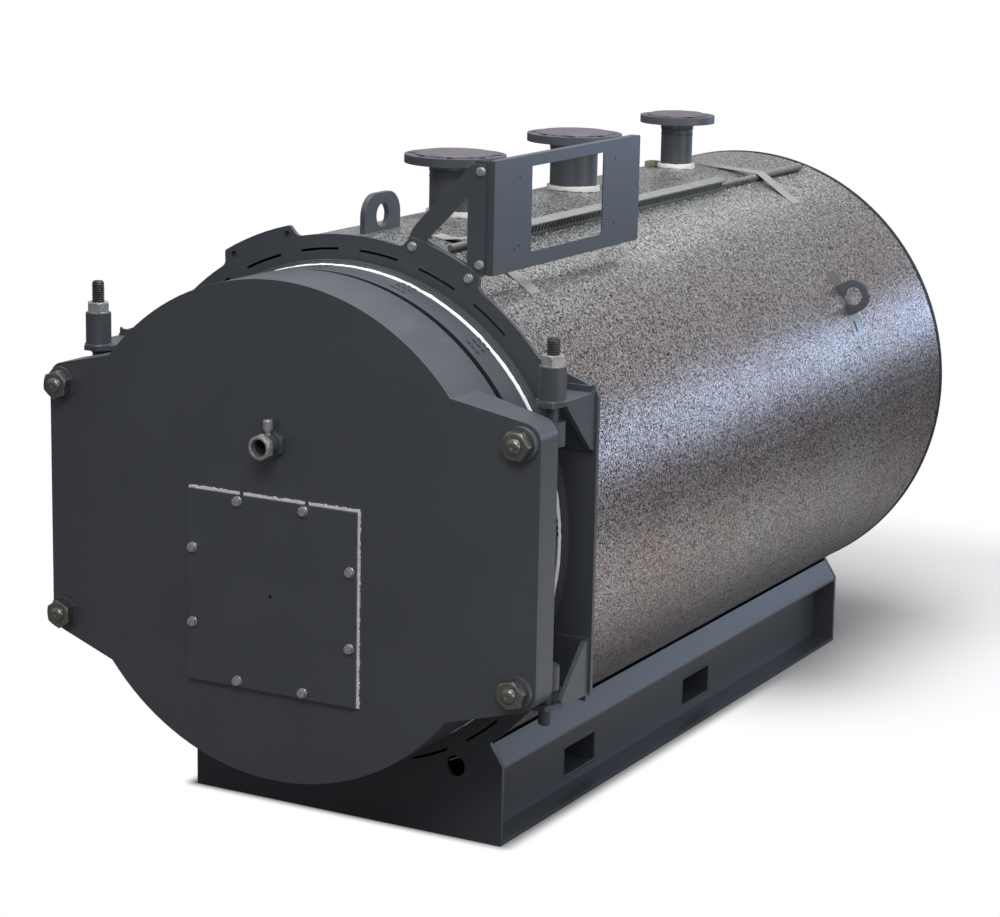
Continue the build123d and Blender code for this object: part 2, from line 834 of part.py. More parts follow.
def folded_sheet(y0, y1):
    edge = door_ear_half + door_ear_r
    fall = (edge - kink_x) * fold_slope
    with BuildPart(mode=Mode.PRIVATE) as sheet:
        with BuildSketch(level(0)):
            Polygon(
                (-edge, y0 + fall),
                (-kink_x, y0),
                (kink_x, y0),
                (edge, y0 + fall),
                (edge, y1 + fall),
                (kink_x, y1),
                (-kink_x, y1),
                (-edge, y1 + fall),
                align=None,
            )
        extrude(amount=2 * axis_z)
    return sheet.part


def door_outline(inset):
    run = door_ear_half - kink_x
    drop = kink_dz - door_ear_dz
    down = inset * math.hypot(run, drop) / run
    with BuildSketch(mode=Mode.PRIVATE) as outline:
        with BuildLine():
            half = Polyline(
                (0, kink_dz - down),
                (kink_x, kink_dz - down),
                (door_ear_half - inset, door_ear_dz - down + inset * drop / run),
                (door_ear_half - inset, -door_ear_dz + down - inset * drop / run),
                (kink_x, -kink_dz + down),
                (0, -kink_dz + down),
            )
            mirror(half, about=Plane.YZ)
        make_face()
        fillet(
            outline.vertices().filter_by(lambda v: abs(v.X) > door_ear_half - inset - 1),
            door_ear_r - inset,
        )
    return outline.sketch


with BuildPart() as door_front_plate:
    add(folded_sheet(0, door_plate_t))
    with BuildSketch(facing(0)):
        Circle(door_r)
        add(door_outline(0))
        with Locations((0, furnace_dz)):
            Circle(throat_r, mode=Mode.SUBTRACT)
        with Locations(*studs):
            Circle(stud_d / 2, mode=Mode.SUBTRACT)
    extrude(amount=-door_ear_deep, mode=Mode.INTERSECT)

with BuildPart() as door_ear_rims:
    with BuildSketch(facing(0)):
        add(door_outline(0))
        add(door_outline(door_ear_t), mode=Mode.SUBTRACT)
        Circle(door_r, mode=Mode.SUBTRACT)
    extrude(amount=-door_ear_deep)
    add(folded_sheet(-door_ear_deep, door_plate_t), mode=Mode.SUBTRACT)

with BuildPart() as door_drum:
    with BuildSketch(facing(0)):
        Circle(door_r)
        Circle(door_r - drum_t, mode=Mode.SUBTRACT)
    extrude(amount=-drum_deep)
    add(folded_sheet(-door_ear_deep, door_plate_t), mode=Mode.SUBTRACT)

with BuildPart() as door_collar:
    with BuildSketch(facing(drum_deep)):
        Circle(collar_groove_r)
        Circle(collar_in_r, mode=Mode.SUBTRACT)
    extrude(amount=-collar_step)
    with BuildSketch(facing(drum_deep + collar_step)):
        Circle(collar_r)
        Circle(collar_in_r, mode=Mode.SUBTRACT)
    extrude(amount=-(y_rope - seal_gap - drum_deep - collar_step))

with BuildPart() as door_lining:
    with BuildSketch(facing(0)):
        Circle(door_r - drum_t)
    extrude(amount=-drum_deep)
    add(folded_sheet(-door_ear_deep, door_plate_t), mode=Mode.SUBTRACT)
    with BuildSketch(facing(drum_deep)):
        Circle(collar_in_r)
    extrude(amount=-(lining_y - drum_deep))
    with BuildSketch(facing(door_plate_t)):
        with Locations((0, furnace_dz)):
            Circle(throat_r)
    extrude(amount=-(lining_y - door_plate_t), mode=Mode.SUBTRACT)

# Blank burner plate on its gasket
with BuildPart() as burner_gasket:
    with BuildSketch(facing(-gasket_t)):
        with Locations((0, furnace_dz)):
            Rectangle(burner_side + 2 * gasket_lap, burner_side + 2 * gasket_lap)
            Circle(throat_r, mode=Mode.SUBTRACT)
    extrude(amount=-gasket_t)

with BuildPart() as burner_plate:
    with BuildSketch(facing(-gasket_t - burner_t)):
        with Locations((0, furnace_dz)):
            Rectangle(burner_side, burner_side)
            Circle(burner_pilot_r, mode=Mode.SUBTRACT)
    extrude(amount=-burner_t)

# Flame sight pipe with a hex foot and a hex end, and the small air nipple on top
with BuildPart() as sight_pipe:
    with BuildSketch(facing(-sight_base_t)):
        with Locations((0, sight_dz)):
            RegularPolygon(sight_base_af / 2, 6, major_radius=False)
    extrude(amount=-sight_base_t)
    with BuildSketch(facing(-sight_len)):
        with Locations((0, sight_dz)):
            Circle(sight_pipe_r)
    extrude(amount=-sight_len)
    with BuildSketch(facing(-sight_len)):
        with Locations((0, sight_dz)):
            RegularPolygon(sight_hex_af / 2, 6, major_radius=False)
    extrude(amount=-sight_hex_len)
    with BuildSketch(facing(-sight_len)):
        with Locations((0, sight_dz)):
            Circle(sight_bore_r)
    extrude(amount=-(sight_len - sight_base_t), mode=Mode.SUBTRACT)

with BuildPart() as sight_nipple:
    with BuildSketch(level(axis_z + sight_dz)):
        with Locations((0, -nipple_y)):
            Circle(nipple_r)
    extrude(amount=sight_pipe_r + nipple_h)
    with BuildSketch(level(axis_z + sight_dz + sight_pipe_r + nipple_h - nipple_cap_h)):
        with Locations((0, -nipple_y)):
            Circle(nipple_cap_r)
    extrude(amount=nipple_cap_h)
    with BuildSketch(facing(-sight_len)):
        with Locations((0, sight_dz)):
            Circle(sight_pipe_r)
    extrude(amount=-sight_len, mode=Mode.SUBTRACT)

# Clamp eye bolts through the ears, the wedge washers that level the folded ears, and the nuts
with BuildPart() as clamp_eye_bolts:
    with BuildSketch(facing(-stud_out)):
        with Locations(*studs):
            Circle(stud_d / 2)
    extrude(amount=-(stud_out + hinge_y - eye_r / 2))
    for x, dz in studs:
        with BuildSketch(level(axis_z + dz - eye_h / 2)):
            with Locations((x, hinge_y)):
                Circle(eye_r)
        extrude(amount=eye_h)
    with BuildSketch(level(axis_z - shelf_dz)):
        with Locations((stud_x, hinge_y), (-stud_x, hinge_y)):
            Circle(pin_d / 2 + pin_clear)
    extrude(amount=2 * shelf_dz, mode=Mode.SUBTRACT)

with BuildPart() as clamp_washers:
    with BuildSketch(facing(seat_y)):
        with Locations(*studs):
            Circle(washer_r)
            Circle(stud_d / 2, mode=Mode.SUBTRACT)
    extrude(amount=-washer_r)
    add(folded_sheet(0, door_ear_deep), mode=Mode.SUBTRACT)

with BuildPart() as clamp_nuts:
    with BuildSketch(facing(seat_y - nut_h)):
        with Locations(*studs):
            RegularPolygon(nut_af / 2, 6, major_radius=False)
            Circle(stud_d / 2, mode=Mode.SUBTRACT)
    extrude(amount=-nut_h)

front_frame_plate.part.label = "front_frame_plate"
export_step(front_frame_plate.part, "parts/front_frame_plate.step")
rear_saddle_plate.part.label = "rear_saddle_plate"
export_step(rear_saddle_plate.part, "parts/rear_saddle_plate.step")
base_rails.part.label = "base_rails"
export_step(base_rails.part, "parts/base_rails.step")
fork_pockets.part.label = "fork_pockets"
export_step(fork_pockets.part, "parts/fork_pockets.step")
pressure_shell.part.label = "pressure_shell"
export_step(pressure_shell.part, "parts/pressure_shell.step")
front_tube_sheet.part.label = "front_tube_sheet"
export_step(front_tube_sheet.part, "parts/front_tube_sheet.step")
rear_tube_sheet.part.label = "rear_tube_sheet"
export_step(rear_tube_sheet.part, "parts/rear_tube_sheet.step")
furnace_tube.part.label = "furnace_tube"
export_step(furnace_tube.part, "parts/furnace_tube.step")
jacket.part.label = "jacket"
export_step(jacket.part, "parts/jacket.step")
rear_cover.part.label = "rear_cover"
export_step(rear_cover.part, "parts/rear_cover.step")
rear_trim.part.label = "rear_trim"
export_step(rear_trim.part, "parts/rear_trim.step")
flue_outlet.part.label = "flue_outlet"
export_step(flue_outlet.part, "parts/flue_outlet.step")
seal_lip.part.label = "seal_lip"
export_step(seal_lip.part, "parts/seal_lip.step")
rope_seal.part.label = "rope_seal"
export_step(rope_seal.part, "parts/rope_seal.step")
supply_nozzle.part.label = "supply_nozzle"
export_step(supply_nozzle.part, "parts/supply_nozzle.step")
return_nozzle.part.label = "return_nozzle"
export_step(return_nozzle.part, "parts/return_nozzle.step")
safety_nozzle.part.label = "safety_nozzle"
export_step(safety_nozzle.part, "parts/safety_nozzle.step")
nozzle_caps.part.label = "nozzle_caps"
export_step(nozzle_caps.part, "parts/nozzle_caps.step")
nozzle_collars.part.label = "nozzle_collars"
export_step(nozzle_collars.part, "parts/nozzle_collars.step")
front_lifting_lug.part.label = "front_lifting_lug"
export_step(front_lifting_lug.part, "parts/front_lifting_lug.step")
rear_lifting_lugs.part.label = "rear_lifting_lugs"
export_step(rear_lifting_lugs.part, "parts/rear_lifting_lugs.step")
hinge_brackets.part.label = "hinge_brackets"
export_step(hinge_brackets.part, "parts/hinge_brackets.step")
hinge_pins.part.label = "hinge_pins"
export_step(hinge_pins.part, "parts/hinge_pins.step")
hinge_nuts.part.label = "hinge_nuts"
export_step(hinge_nuts.part, "parts/hinge_nuts.step")
panel_bracket.part.label = "panel_bracket"
export_step(panel_bracket.part, "parts/panel_bracket.step")
panel_plate.part.label = "panel_plate"
export_step(panel_plate.part, "parts/panel_plate.step")
cable_tray.part.label = "cable_tray"
export_step(cable_tray.part, "parts/cable_tray.step")
conduit.part.label = "conduit"
export_step(conduit.part, "parts/conduit.step")
door_front_plate.part.label = "door_front_plate"
export_step(door_front_plate.part, "parts/door_front_plate.step")
door_ear_rims.part.label = "door_ear_rims"
export_step(door_ear_rims.part, "parts/door_ear_rims.step")
door_drum.part.label = "door_drum"
export_step(door_drum.part, "parts/door_drum.step")
door_collar.part.label = "door_collar"
export_step(door_collar.part, "parts/door_collar.step")
door_lining.part.label = "door_lining"
export_step(door_lining.part, "parts/door_lining.step")
burner_gasket.part.label = "burner_gasket"
export_step(burner_gasket.part, "parts/burner_gasket.step")
burner_plate.part.label = "burner_plate"
export_step(burner_plate.part, "parts/burner_plate.step")
sight_pipe.part.label = "sight_pipe"
export_step(sight_pipe.part, "parts/sight_pipe.step")
sight_nipple.part.label = "sight_nipple"
export_step(sight_nipple.part, "parts/sight_nipple.step")
clamp_eye_bolts.part.label = "clamp_eye_bolts"
export_step(clamp_eye_bolts.part, "parts/clamp_eye_bolts.step")
clamp_washers.part.label = "clamp_washers"
export_step(clamp_washers.part, "parts/clamp_washers.step")
clamp_nuts.part.label = "clamp_nuts"
export_step(clamp_nuts.part, "parts/clamp_nuts.step")
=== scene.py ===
import bpy
import math
from mathutils import Matrix, Vector


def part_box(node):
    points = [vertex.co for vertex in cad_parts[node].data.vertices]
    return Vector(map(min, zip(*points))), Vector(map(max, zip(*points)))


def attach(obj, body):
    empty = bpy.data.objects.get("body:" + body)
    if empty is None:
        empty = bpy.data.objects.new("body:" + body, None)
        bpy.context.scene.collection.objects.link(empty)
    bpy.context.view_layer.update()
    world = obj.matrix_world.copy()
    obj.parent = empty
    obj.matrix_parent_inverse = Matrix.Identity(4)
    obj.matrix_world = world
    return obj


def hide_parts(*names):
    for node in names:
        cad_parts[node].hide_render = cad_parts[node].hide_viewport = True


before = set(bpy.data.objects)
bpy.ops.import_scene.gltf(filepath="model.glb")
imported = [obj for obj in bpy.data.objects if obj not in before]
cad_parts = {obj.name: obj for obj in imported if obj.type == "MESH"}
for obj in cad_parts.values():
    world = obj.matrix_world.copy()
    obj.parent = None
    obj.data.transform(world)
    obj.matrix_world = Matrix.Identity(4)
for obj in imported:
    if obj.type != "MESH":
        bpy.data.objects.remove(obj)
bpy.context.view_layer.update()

# Front frame plate, base rails, rear plate and fork pockets: laser-cut and folded mild steel,
# welded together and sprayed with one coat of graphite paint. Cut edges are ground over, so
# every plate gets a small round that catches the light.


def linear(code):
    # sRGB hex colour as the linear colour that a shader takes
    parts = [int(code[i : i + 2], 16) / 255 for i in (1, 3, 5)]
    return [v / 12.92 if v <= 0.04045 else ((v + 0.055) / 1.055) ** 2.4 for v in parts] + [1.0]


def add_node(tree, kind, inputs, **settings):
    # one node with its settings; an input is a value or another node's output to link
    made = tree.nodes.new(kind)
    for key, value in settings.items():
        setattr(made, key, value)
    for key, value in inputs.items():
        if isinstance(value, bpy.types.NodeSocket):
            tree.links.new(value, made.inputs[key])
        else:
            made.inputs[key].default_value = value
    return made


def new_finish(name, **shader_values):
    # a material with its shader's constants set, its node tree, shader and object coordinates
    material = bpy.data.materials.new(name)
    material.use_nodes = True
    tree = material.node_tree
    shader = tree.nodes["Principled BSDF"]
    for key, value in shader_values.items():
        shader.inputs[key.replace("_", " ").title().replace("Ior", "IOR")].default_value = value
    place = tree.nodes.new("ShaderNodeTexCoord").outputs["Object"]
    return material, tree, shader, place


def cloud(tree, place, grain_mm, detail, twist=0.0):
    # a cloudy pattern whose grains are this many millimetres
    inputs = {"Vector": place, "Scale": 1000.0 / grain_mm, "Detail": detail, "Distortion": twist}
    return add_node(tree, "ShaderNodeTexNoise", inputs).outputs["Fac"]


def ranged(tree, value, source=(0.0, 1.0), to=(0.0, 1.0), **settings):
    # a value taken from one range to another
    inputs = {"Value": value, "From Min": source[0], "From Max": source[1]}
    inputs |= {"To Min": to[0], "To Max": to[1]}
    return add_node(tree, "ShaderNodeMapRange", inputs, **settings).outputs["Result"]


def mixed(tree, share, first, second, **settings):
    # one colour going over to another as the share rises from 0 to 1
    inputs = {0: share, 6: first, 7: second}
    return add_node(tree, "ShaderNodeMix", inputs, data_type="RGBA", **settings).outputs[2]


def relief(tree, height, strength, depth):
    # a normal that leans as if the pattern were raised by this depth in metres
    inputs = {"Height": height, "Strength": strength, "Distance": depth}
    return add_node(tree, "ShaderNodeBump", inputs).outputs["Normal"]


def speckled(name, grain_mm, detail, dark, light, rough=None, raised=None, twist=0.0, **constants):
    # a finish that wanders between two tones in grains of this size, with the roughness at either
    # end, and raised by its own or finer grains: (grain in mm or None, detail, strength, depth)
    material, tree, shader, place = new_finish(name, **constants)
    grains = cloud(tree, place, grain_mm, detail, twist)
    tree.links.new(mixed(tree, grains, linear(dark), linear(light)), shader.inputs["Base Color"])
    if rough:
        tree.links.new(ranged(tree, grains, to=rough), shader.inputs["Roughness"])
    if raised:
        fine_mm, fine_detail, strength, depth = raised
        height = cloud(tree, place, fine_mm, fine_detail) if fine_mm else grains
        tree.links.new(relief(tree, height, strength, depth), shader.inputs["Normal"])
    return material


# Semi-matt polyester paint over steel: dark blue-grey, with the fine orange peel of a
# sprayed coat and slightly uneven gloss.
graphite_paint = speckled(
    "graphite_paint_sprayed", 160, 3.0, "#42464C", "#4A4E56", rough=(0.40, 0.54),
    raised=(3.0, 2.0, 0.22, 0.0004), coat_weight=0.6, coat_roughness=0.36,
)


def take(piece):
    # back to object mode with this piece alone selected and active
    if bpy.context.mode != "OBJECT":
        bpy.ops.object.mode_set(mode="OBJECT")
    bpy.ops.object.select_all(action="DESELECT")
    if piece:
        piece.select_set(True)
        bpy.context.view_layer.objects.active = piece


def modify(piece, kind, **settings):
    # adds a modifier with its settings and applies it
    take(piece)
    made = piece.modifiers.new(kind.lower(), kind)
    for key, value in settings.items():
        setattr(made, key, value)
    bpy.ops.object.modifier_apply(modifier=made.name)
    return piece


def fit(piece, name, body, slot, finish, *nodes, smooth=35):
    # names a finished piece, gives it its finish and fastens it to its body
    take(piece)
    bpy.ops.object.transform_apply()
    bpy.ops.object.shade_smooth_by_angle(angle=math.radians(smooth))
    piece.name = name
    piece.data.name = name
    piece.data.materials.clear()
    piece.data.materials.append(finish)
    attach(piece, body)
    if nodes:
        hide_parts(*nodes)


def node_copy(node, flat_angle=0.2):
    # a welded copy of a CAD node's mesh, its flat facets joined
    piece = bpy.data.objects.new(node + "_copy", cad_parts[node].data.copy())
    bpy.context.scene.collection.objects.link(piece)
    take(piece)
    bpy.ops.mesh.customdata_custom_splitnormals_clear()
    bpy.ops.object.mode_set(mode="EDIT")
    bpy.ops.mesh.select_all(action="SELECT")
    bpy.ops.mesh.remove_doubles(threshold=0.00002)
    bpy.ops.mesh.dissolve_limited(angle_limit=math.radians(flat_angle))
    bpy.ops.object.mode_set(mode="OBJECT")
    return piece


def eased(node, edge_mm, body, slot, finish, flat_angle=0.2):
    # the CAD node with its sharp edges rounded
    piece = node_copy(node, flat_angle)
    modify(
        piece, "BEVEL", width=edge_mm / 1000, segments=2, limit_method="ANGLE",
        angle_limit=math.radians(40), use_clamp_overlap=True, miter_outer="MITER_ARC",
    )
    fit(piece, node + "_eased", body, slot, finish, node)
    return modify(piece, "WEIGHTED_NORMAL", keep_sharp=True)


for node, edge_mm in (
    ("front_frame_plate", 1.2), ("rear_saddle_plate", 1.2), ("base_rails", 1.5), ("fork_pockets", 1.5)
):
    eased(node, edge_mm, "boiler", "graphite_paint", graphite_paint)

# Pressure body: shell, tube sheets, furnace and flue outlet of boiler plate, left as rolled.
# They show through the flue and, with the door open, at the front.


def dress(node, finish):
    # a CAD node that stays, with a better finish
    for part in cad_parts[node].material_slots:
        part.material = finish


# Hot-rolled plate: grey-black mill scale, dull, with brown rust coming through in patches.
mill_scale, tree, shader, place = new_finish("hot_rolled_plate_mill_scale", metallic=0.55)
rust = ranged(tree, cloud(tree, place, 45, 6.0), source=(0.52, 0.72))
tree.links.new(mixed(tree, rust, linear("#3E3D3D"), linear("#5E4636")), shader.inputs["Base Color"])
tree.links.new(ranged(tree, rust, to=(0.45, 0.85)), shader.inputs["Roughness"])
scale_grain = cloud(tree, place, 4, 3.0)
tree.links.new(relief(tree, scale_grain, 0.3, 0.0005), shader.inputs["Normal"])
for node in ("pressure_shell", "front_tube_sheet", "rear_tube_sheet", "furnace_tube"):
    dress(node, mill_scale)
eased("flue_outlet", 0.8, "boiler", "boiler_steel", mill_scale)

# Jacket and rear cover: thin stucco-embossed galvanised sheet rolled round the insulation.
# The embossing breaks the light into bright and dark specks a few millimetres across.


def middle(node):
    # x, y and z of the middle of a CAD node's box
    return [(low + high) / 2 for low, high in zip(*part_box(node))]


def product(tree, first, second):
    # one value times another
    return add_node(tree, "ShaderNodeMath", {0: first, 1: second}, operation="MULTIPLY").outputs[0]


def half_width(node):
    # half of a CAD node's box from side to side
    low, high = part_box(node)
    return (high.x - low.x) / 2


jacket_r = half_width("jacket")
axis_z = middle("jacket")[2]
body_y, rear_y = (corner.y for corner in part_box("jacket"))

# Stucco-embossed zinc sheet: each small facet of the embossing leans its own way and so catches the light
# its own way. That light is painted into the base colour as 2.6 mm cells from near black to near white,
# painted glints and painted shade, with a cell-shaped bump. All but the top is tinted a faint brown-pink
# in patches.
stucco_sheet, tree, shader, place = new_finish("stucco_galvanised_sheet", metallic=0.82)
facet_mm = 2.6
pink_patches_top, pink_patches_full = axis_z + 0.50, axis_z + 0.30
cells = add_node(tree, "ShaderNodeTexVoronoi", {"Vector": place, "Scale": 1000.0 / facet_mm})
split = add_node(tree, "ShaderNodeSeparateColor", {"Color": cells.outputs["Color"]})
facet = ranged(tree, split.outputs["Red"], source=(0.15, 0.85))
# painted glints and painted shade: each cell's tone stands for the light its facet catches
painted_glint_speck = mixed(tree, facet, linear("#1E1F20"), linear("#E6E7E7"))
where = add_node(tree, "ShaderNodeSeparateXYZ", {"Vector": place})
# below the top the sheet is tinted brown-pink in cloudy patches, fading in between these two heights
lower = ranged(tree, where.outputs["Z"], source=(pink_patches_top, pink_patches_full))
pink_patches = product(tree, lower, cloud(tree, place, 320, 3.0))
tint = mixed(tree, pink_patches, linear("#FFFFFF"), linear("#E2C2BE"))
tree.links.new(mixed(tree, 1.0, painted_glint_speck, tint, blend_type="MULTIPLY"), shader.inputs["Base Color"])
tree.links.new(ranged(tree, split.outputs["Green"], to=(0.24, 0.42)), shader.inputs["Roughness"])
tree.links.new(relief(tree, cells.outputs["Distance"], 0.35, 0.0008), shader.inputs["Normal"])
for node, smooth in (("jacket", 25), ("rear_cover", 35)):
    fit(node_copy(node), node + "_sheet", "boiler", "galvanised_sheet", stucco_sheet, node, smooth=smooth)

# Lap of the jacket's lengthwise seam, under the cable duct: a flat strip of the same sheet,
# pop-riveted every 62 mm.


def added(primitive, **settings):
    # a new basic shape, its place and turn worked into its mesh
    take(None)
    primitive(**settings)
    bpy.ops.object.transform_apply()
    return bpy.context.object


def edit_all(piece, kind="EDGE"):
    # edit mode with the whole piece selected
    take(piece)
    bpy.ops.object.mode_set(mode="EDIT")
    bpy.ops.mesh.select_mode(type=kind)
    bpy.ops.mesh.select_all(action="SELECT")


def reshape(piece, test, tool, **settings):
    # runs a mesh tool on the vertices whose place passes the test
    edit_all(piece, "VERT")
    bpy.ops.mesh.select_all(action="DESELECT")
    bpy.ops.object.mode_set(mode="OBJECT")
    for corner in piece.data.vertices:
        corner.select = test(corner.co)
    bpy.ops.object.mode_set(mode="EDIT")
    tool(**settings)
    bpy.ops.object.mode_set(mode="OBJECT")


def jacket_angle(point):
    # angle round the boiler's axis in degrees, 0 at the right side and 90 on top
    return math.degrees(math.atan2(point.z - axis_z, point.x))


def arc_strip(radius, angle_low, angle_high, y_low, y_high, thick_mm):
    # a strip bent round the boiler's axis: a circle trimmed to its arc, pulled out and thickened
    piece = added(
        bpy.ops.mesh.primitive_circle_add, vertices=720, radius=radius, location=(0, y_low, axis_z),
        rotation=(math.radians(90), 0, 0),
    )
    reshape(
        piece, lambda p: not angle_low <= jacket_angle(p) <= angle_high, bpy.ops.mesh.delete, type="VERT"
    )
    edit_all(piece)
    bpy.ops.mesh.extrude_edges_move(TRANSFORM_OT_translate={"value": (0, y_high - y_low, 0)})
    bpy.ops.object.mode_set(mode="OBJECT")
    facing = piece.data.polygons[0]
    if Vector((facing.center.x, 0, facing.center.z - axis_z)).dot(facing.normal) < 0:
        edit_all(piece)
        bpy.ops.mesh.flip_normals()
    return modify(piece, "SOLIDIFY", thickness=thick_mm / 1000, offset=1.0)


def copy_at(source, matrix):
    # a copy with a mesh of its own, moved by the matrix
    piece = bpy.data.objects.new(source.name + "_copy", source.data.copy())
    bpy.context.scene.collection.objects.link(piece)
    piece.data.transform(matrix)
    return piece


def joined(pieces):
    # several like pieces made one mesh
    take(pieces[0])
    for piece in pieces:
        piece.select_set(True)
    bpy.ops.object.join()
    return pieces[0]


def drop(piece):
    # takes a pattern piece out of the scene again
    bpy.data.objects.remove(piece)


def about_axis(angle):
    # turns what was made on top of the boiler to this angle round its axis
    hub = Vector((0, 0, axis_z))
    turn = Matrix.Rotation(math.radians(90 - angle), 4, "Y")
    return Matrix.Translation(hub) @ turn @ Matrix.Translation(-hub)


seam_edge, seam_turn = 69.7, 3.6
lap_mm = 0.9
seam_lap = arc_strip(jacket_r, seam_edge, seam_edge + seam_turn, body_y + 0.002, rear_y - 0.016, lap_mm)
fit(seam_lap, "jacket_seam_lap", "boiler", "galvanised_sheet", stucco_sheet)

# Zinc-plated steel: pale grey metal, half-bright, mottled every few millimetres.
zinc_plate = speckled(
    "zinc_plated_steel", 6, 4.0, "#A2A29E", "#DEDFDF", rough=(0.22, 0.42), metallic=0.66
)

rivet_r = 0.0030
rivet_pitch = 0.062
rivet_flat = 0.55
rivet = added(bpy.ops.mesh.primitive_uv_sphere_add, segments=12, ring_count=8, radius=rivet_r)
reshape(rivet, lambda p: p.z < -0.0001, bpy.ops.mesh.delete, type="VERT")
rivet.scale = (1, 1, rivet_flat)
take(rivet)
bpy.ops.object.transform_apply()
rivets = []
y = body_y + 0.04
while y < rear_y - 0.03:
    seat = Matrix.Translation((0, y, axis_z + jacket_r + lap_mm / 1000))
    rivets.append(copy_at(rivet, about_axis(seam_edge + 0.4) @ seat))
    y += rivet_pitch
drop(rivet)
fit(joined(rivets), "seam_rivets", "boiler", "zinc_steel", zinc_plate)

# Dark edge trim on the jacket's rear rim: an extruded rubber channel, cut to length and pressed
# on by hand, which keeps the sheet's edge from cutting.

# Extruded rubber: near-black, half-matt, faintly mottled. The same finish serves as painted shade in
# gaps, grooves, the duct and the sight pipe's bore.
black_rubber_and_shade = speckled("black_rubber_and_painted_shade", 9, 4.0, "#1A1B1D", "#2C2D30", roughness=0.62)
eased("rear_trim", 0.5, "boiler", "dark_trim", black_rubber_and_shade)

# Seal between door and frame: a rolled steel lip and a braided mineral-fibre rope pressed
# against it by the door's collar. The rope bulges a little and frays.
eased("seal_lip", 1.5, "boiler", "graphite_paint", graphite_paint)

# Braided mineral fibre: chalk-white yarns that cross, soft and without gloss.
mineral_fibre = speckled(
    "mineral_fibre_braided", 5, 5.0, "#EAE8E2", "#FFFFFF", raised=(1.6, 2.0, 0.6, 0.0015),
    roughness=0.92, specular_ior_level=0.2,
)


def roughened(piece, size_mm, depth_mm, axis="NORMAL"):
    # uneven surface: pushes points in and out by a cloud pattern
    cloud_map = bpy.data.textures.new(piece.name + "_cloud", "CLOUDS")
    cloud_map.noise_scale = size_mm / 1000
    return modify(
        piece, "DISPLACE", texture=cloud_map, strength=depth_mm / 1000, mid_level=0.5,
        direction=axis, texture_coords="GLOBAL",
    )


rope_low, rope_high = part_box("rope_seal")
rope_bulge = 0.0004
rope_out = half_width("rope_seal") + rope_bulge
rope_d = rope_high.y - rope_low.y
rope_y = middle("rope_seal")[1]
rope_w = 0.029
rope_cap, rope_press = 0.003, 1.06
take(None)
bpy.ops.mesh.primitive_torus_add(
    major_radius=rope_out - rope_w / 2, minor_radius=rope_w / 2, major_segments=480, minor_segments=20,
    location=(0, rope_y, axis_z), rotation=(math.radians(90), 0, 0),
)
rope = bpy.context.object
rope.scale = (1, 1, rope_d / rope_w)
bpy.ops.object.transform_apply()
reshape(
    rope, lambda p: p.y > rope_high.y - rope_cap or p.y < rope_low.y + rope_cap,
    bpy.ops.transform.resize, value=(1, rope_press, 1), center_override=(0, rope_y, axis_z),
)
roughened(rope, 9, 3.0)
roughened(rope, 3, 2.2)
fit(rope, "rope_seal_braid", "boiler", "white_rope", mineral_fibre, "rope_seal", smooth=60)

# Nozzles: steel pipes with weld-neck flanges, painted with the boiler. Two weld rings show
# under each flange, and the pipe stands in a white fibre collar on the jacket.
nozzle_nodes = ("supply_nozzle", "return_nozzle", "safety_nozzle")
for node in nozzle_nodes:
    eased(node, 1.2, "boiler", "graphite_paint", graphite_paint)


def moved(piece, x, y, z, turn=Matrix.Identity(4)):
    # the piece's mesh turned and then moved
    piece.data.transform(Matrix.Translation((x, y, z)) @ turn)
    return piece


def weld_ring(radius, bead):
    # a closed ring of weld metal, a little flatter below
    ring = added(
        bpy.ops.mesh.primitive_torus_add, major_radius=radius, minor_radius=bead, major_segments=96,
        minor_segments=8,
    )
    reshape(
        ring, lambda p: p.z < 0, bpy.ops.transform.resize, value=(1, 1, 0.8), center_override=(0, 0, 0)
    )
    return ring


large_pipe_r, small_pipe_r = 0.054, 0.038
weld_beads = []
for node in nozzle_nodes:
    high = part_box(node)[1]
    pipe_r = large_pipe_r if high.x > 0.1 else small_pipe_r
    for drop_mm, bead in ((33.0, 0.0016), (46.0, 0.0011)):
        ring = moved(weld_ring(pipe_r, bead), 0, middle(node)[1], high.z - drop_mm / 1000)
        weld_beads.append(roughened(ring, 4, 0.8))
fit(joined(weld_beads), "nozzle_weld_beads", "boiler", "graphite_paint", graphite_paint)
collars = node_copy("nozzle_collars")
collar_raise, collar_draw_in = 0.006, 0.94
reshape(
    collars, lambda p: p.z - axis_z - math.sqrt(jacket_r ** 2 - p.x ** 2) > 0.0025,
    bpy.ops.transform.translate, value=(0, 0, collar_raise),
)
modify(collars, "REMESH", mode="VOXEL", voxel_size=0.0016)
modify(collars, "SMOOTH", factor=0.5, iterations=12)
for node in nozzle_nodes:
    centre_y = middle(node)[1]
    reshape(
        collars, lambda p: abs(p.y - centre_y) < 0.12, bpy.ops.transform.resize,
        value=(collar_draw_in, collar_draw_in, 1), center_override=(0, centre_y, axis_z + jacket_r),
    )
collars = roughened(roughened(collars, 30, 3.5), 5, 1.2)
fit(collars, "nozzle_fibre_collars", "boiler", "white_rope", mineral_fibre, "nozzle_collars", smooth=60)

# Offcut of olive felt beside the rear pipe's foot: packing left over from the insulation work,
# cut with a knife and wedged in by hand.

# Felt: olive grey without gloss, its nap showing as small soft patches.
olive_felt = speckled(
    "olive_felt_offcut", 4, 4.0, "#7E7D68", "#A3A18A", roughness=0.95, specular_ior_level=0.2
)


def bar(size, centre, edge_mm):
    # a straight bar of the given size, its edges eased
    take(None)
    bpy.ops.mesh.primitive_cube_add(size=1, location=centre)
    piece = bpy.context.object
    piece.scale = size
    bpy.ops.object.transform_apply()
    return modify(piece, "BEVEL", width=edge_mm / 1000, segments=2, limit_method="NONE")


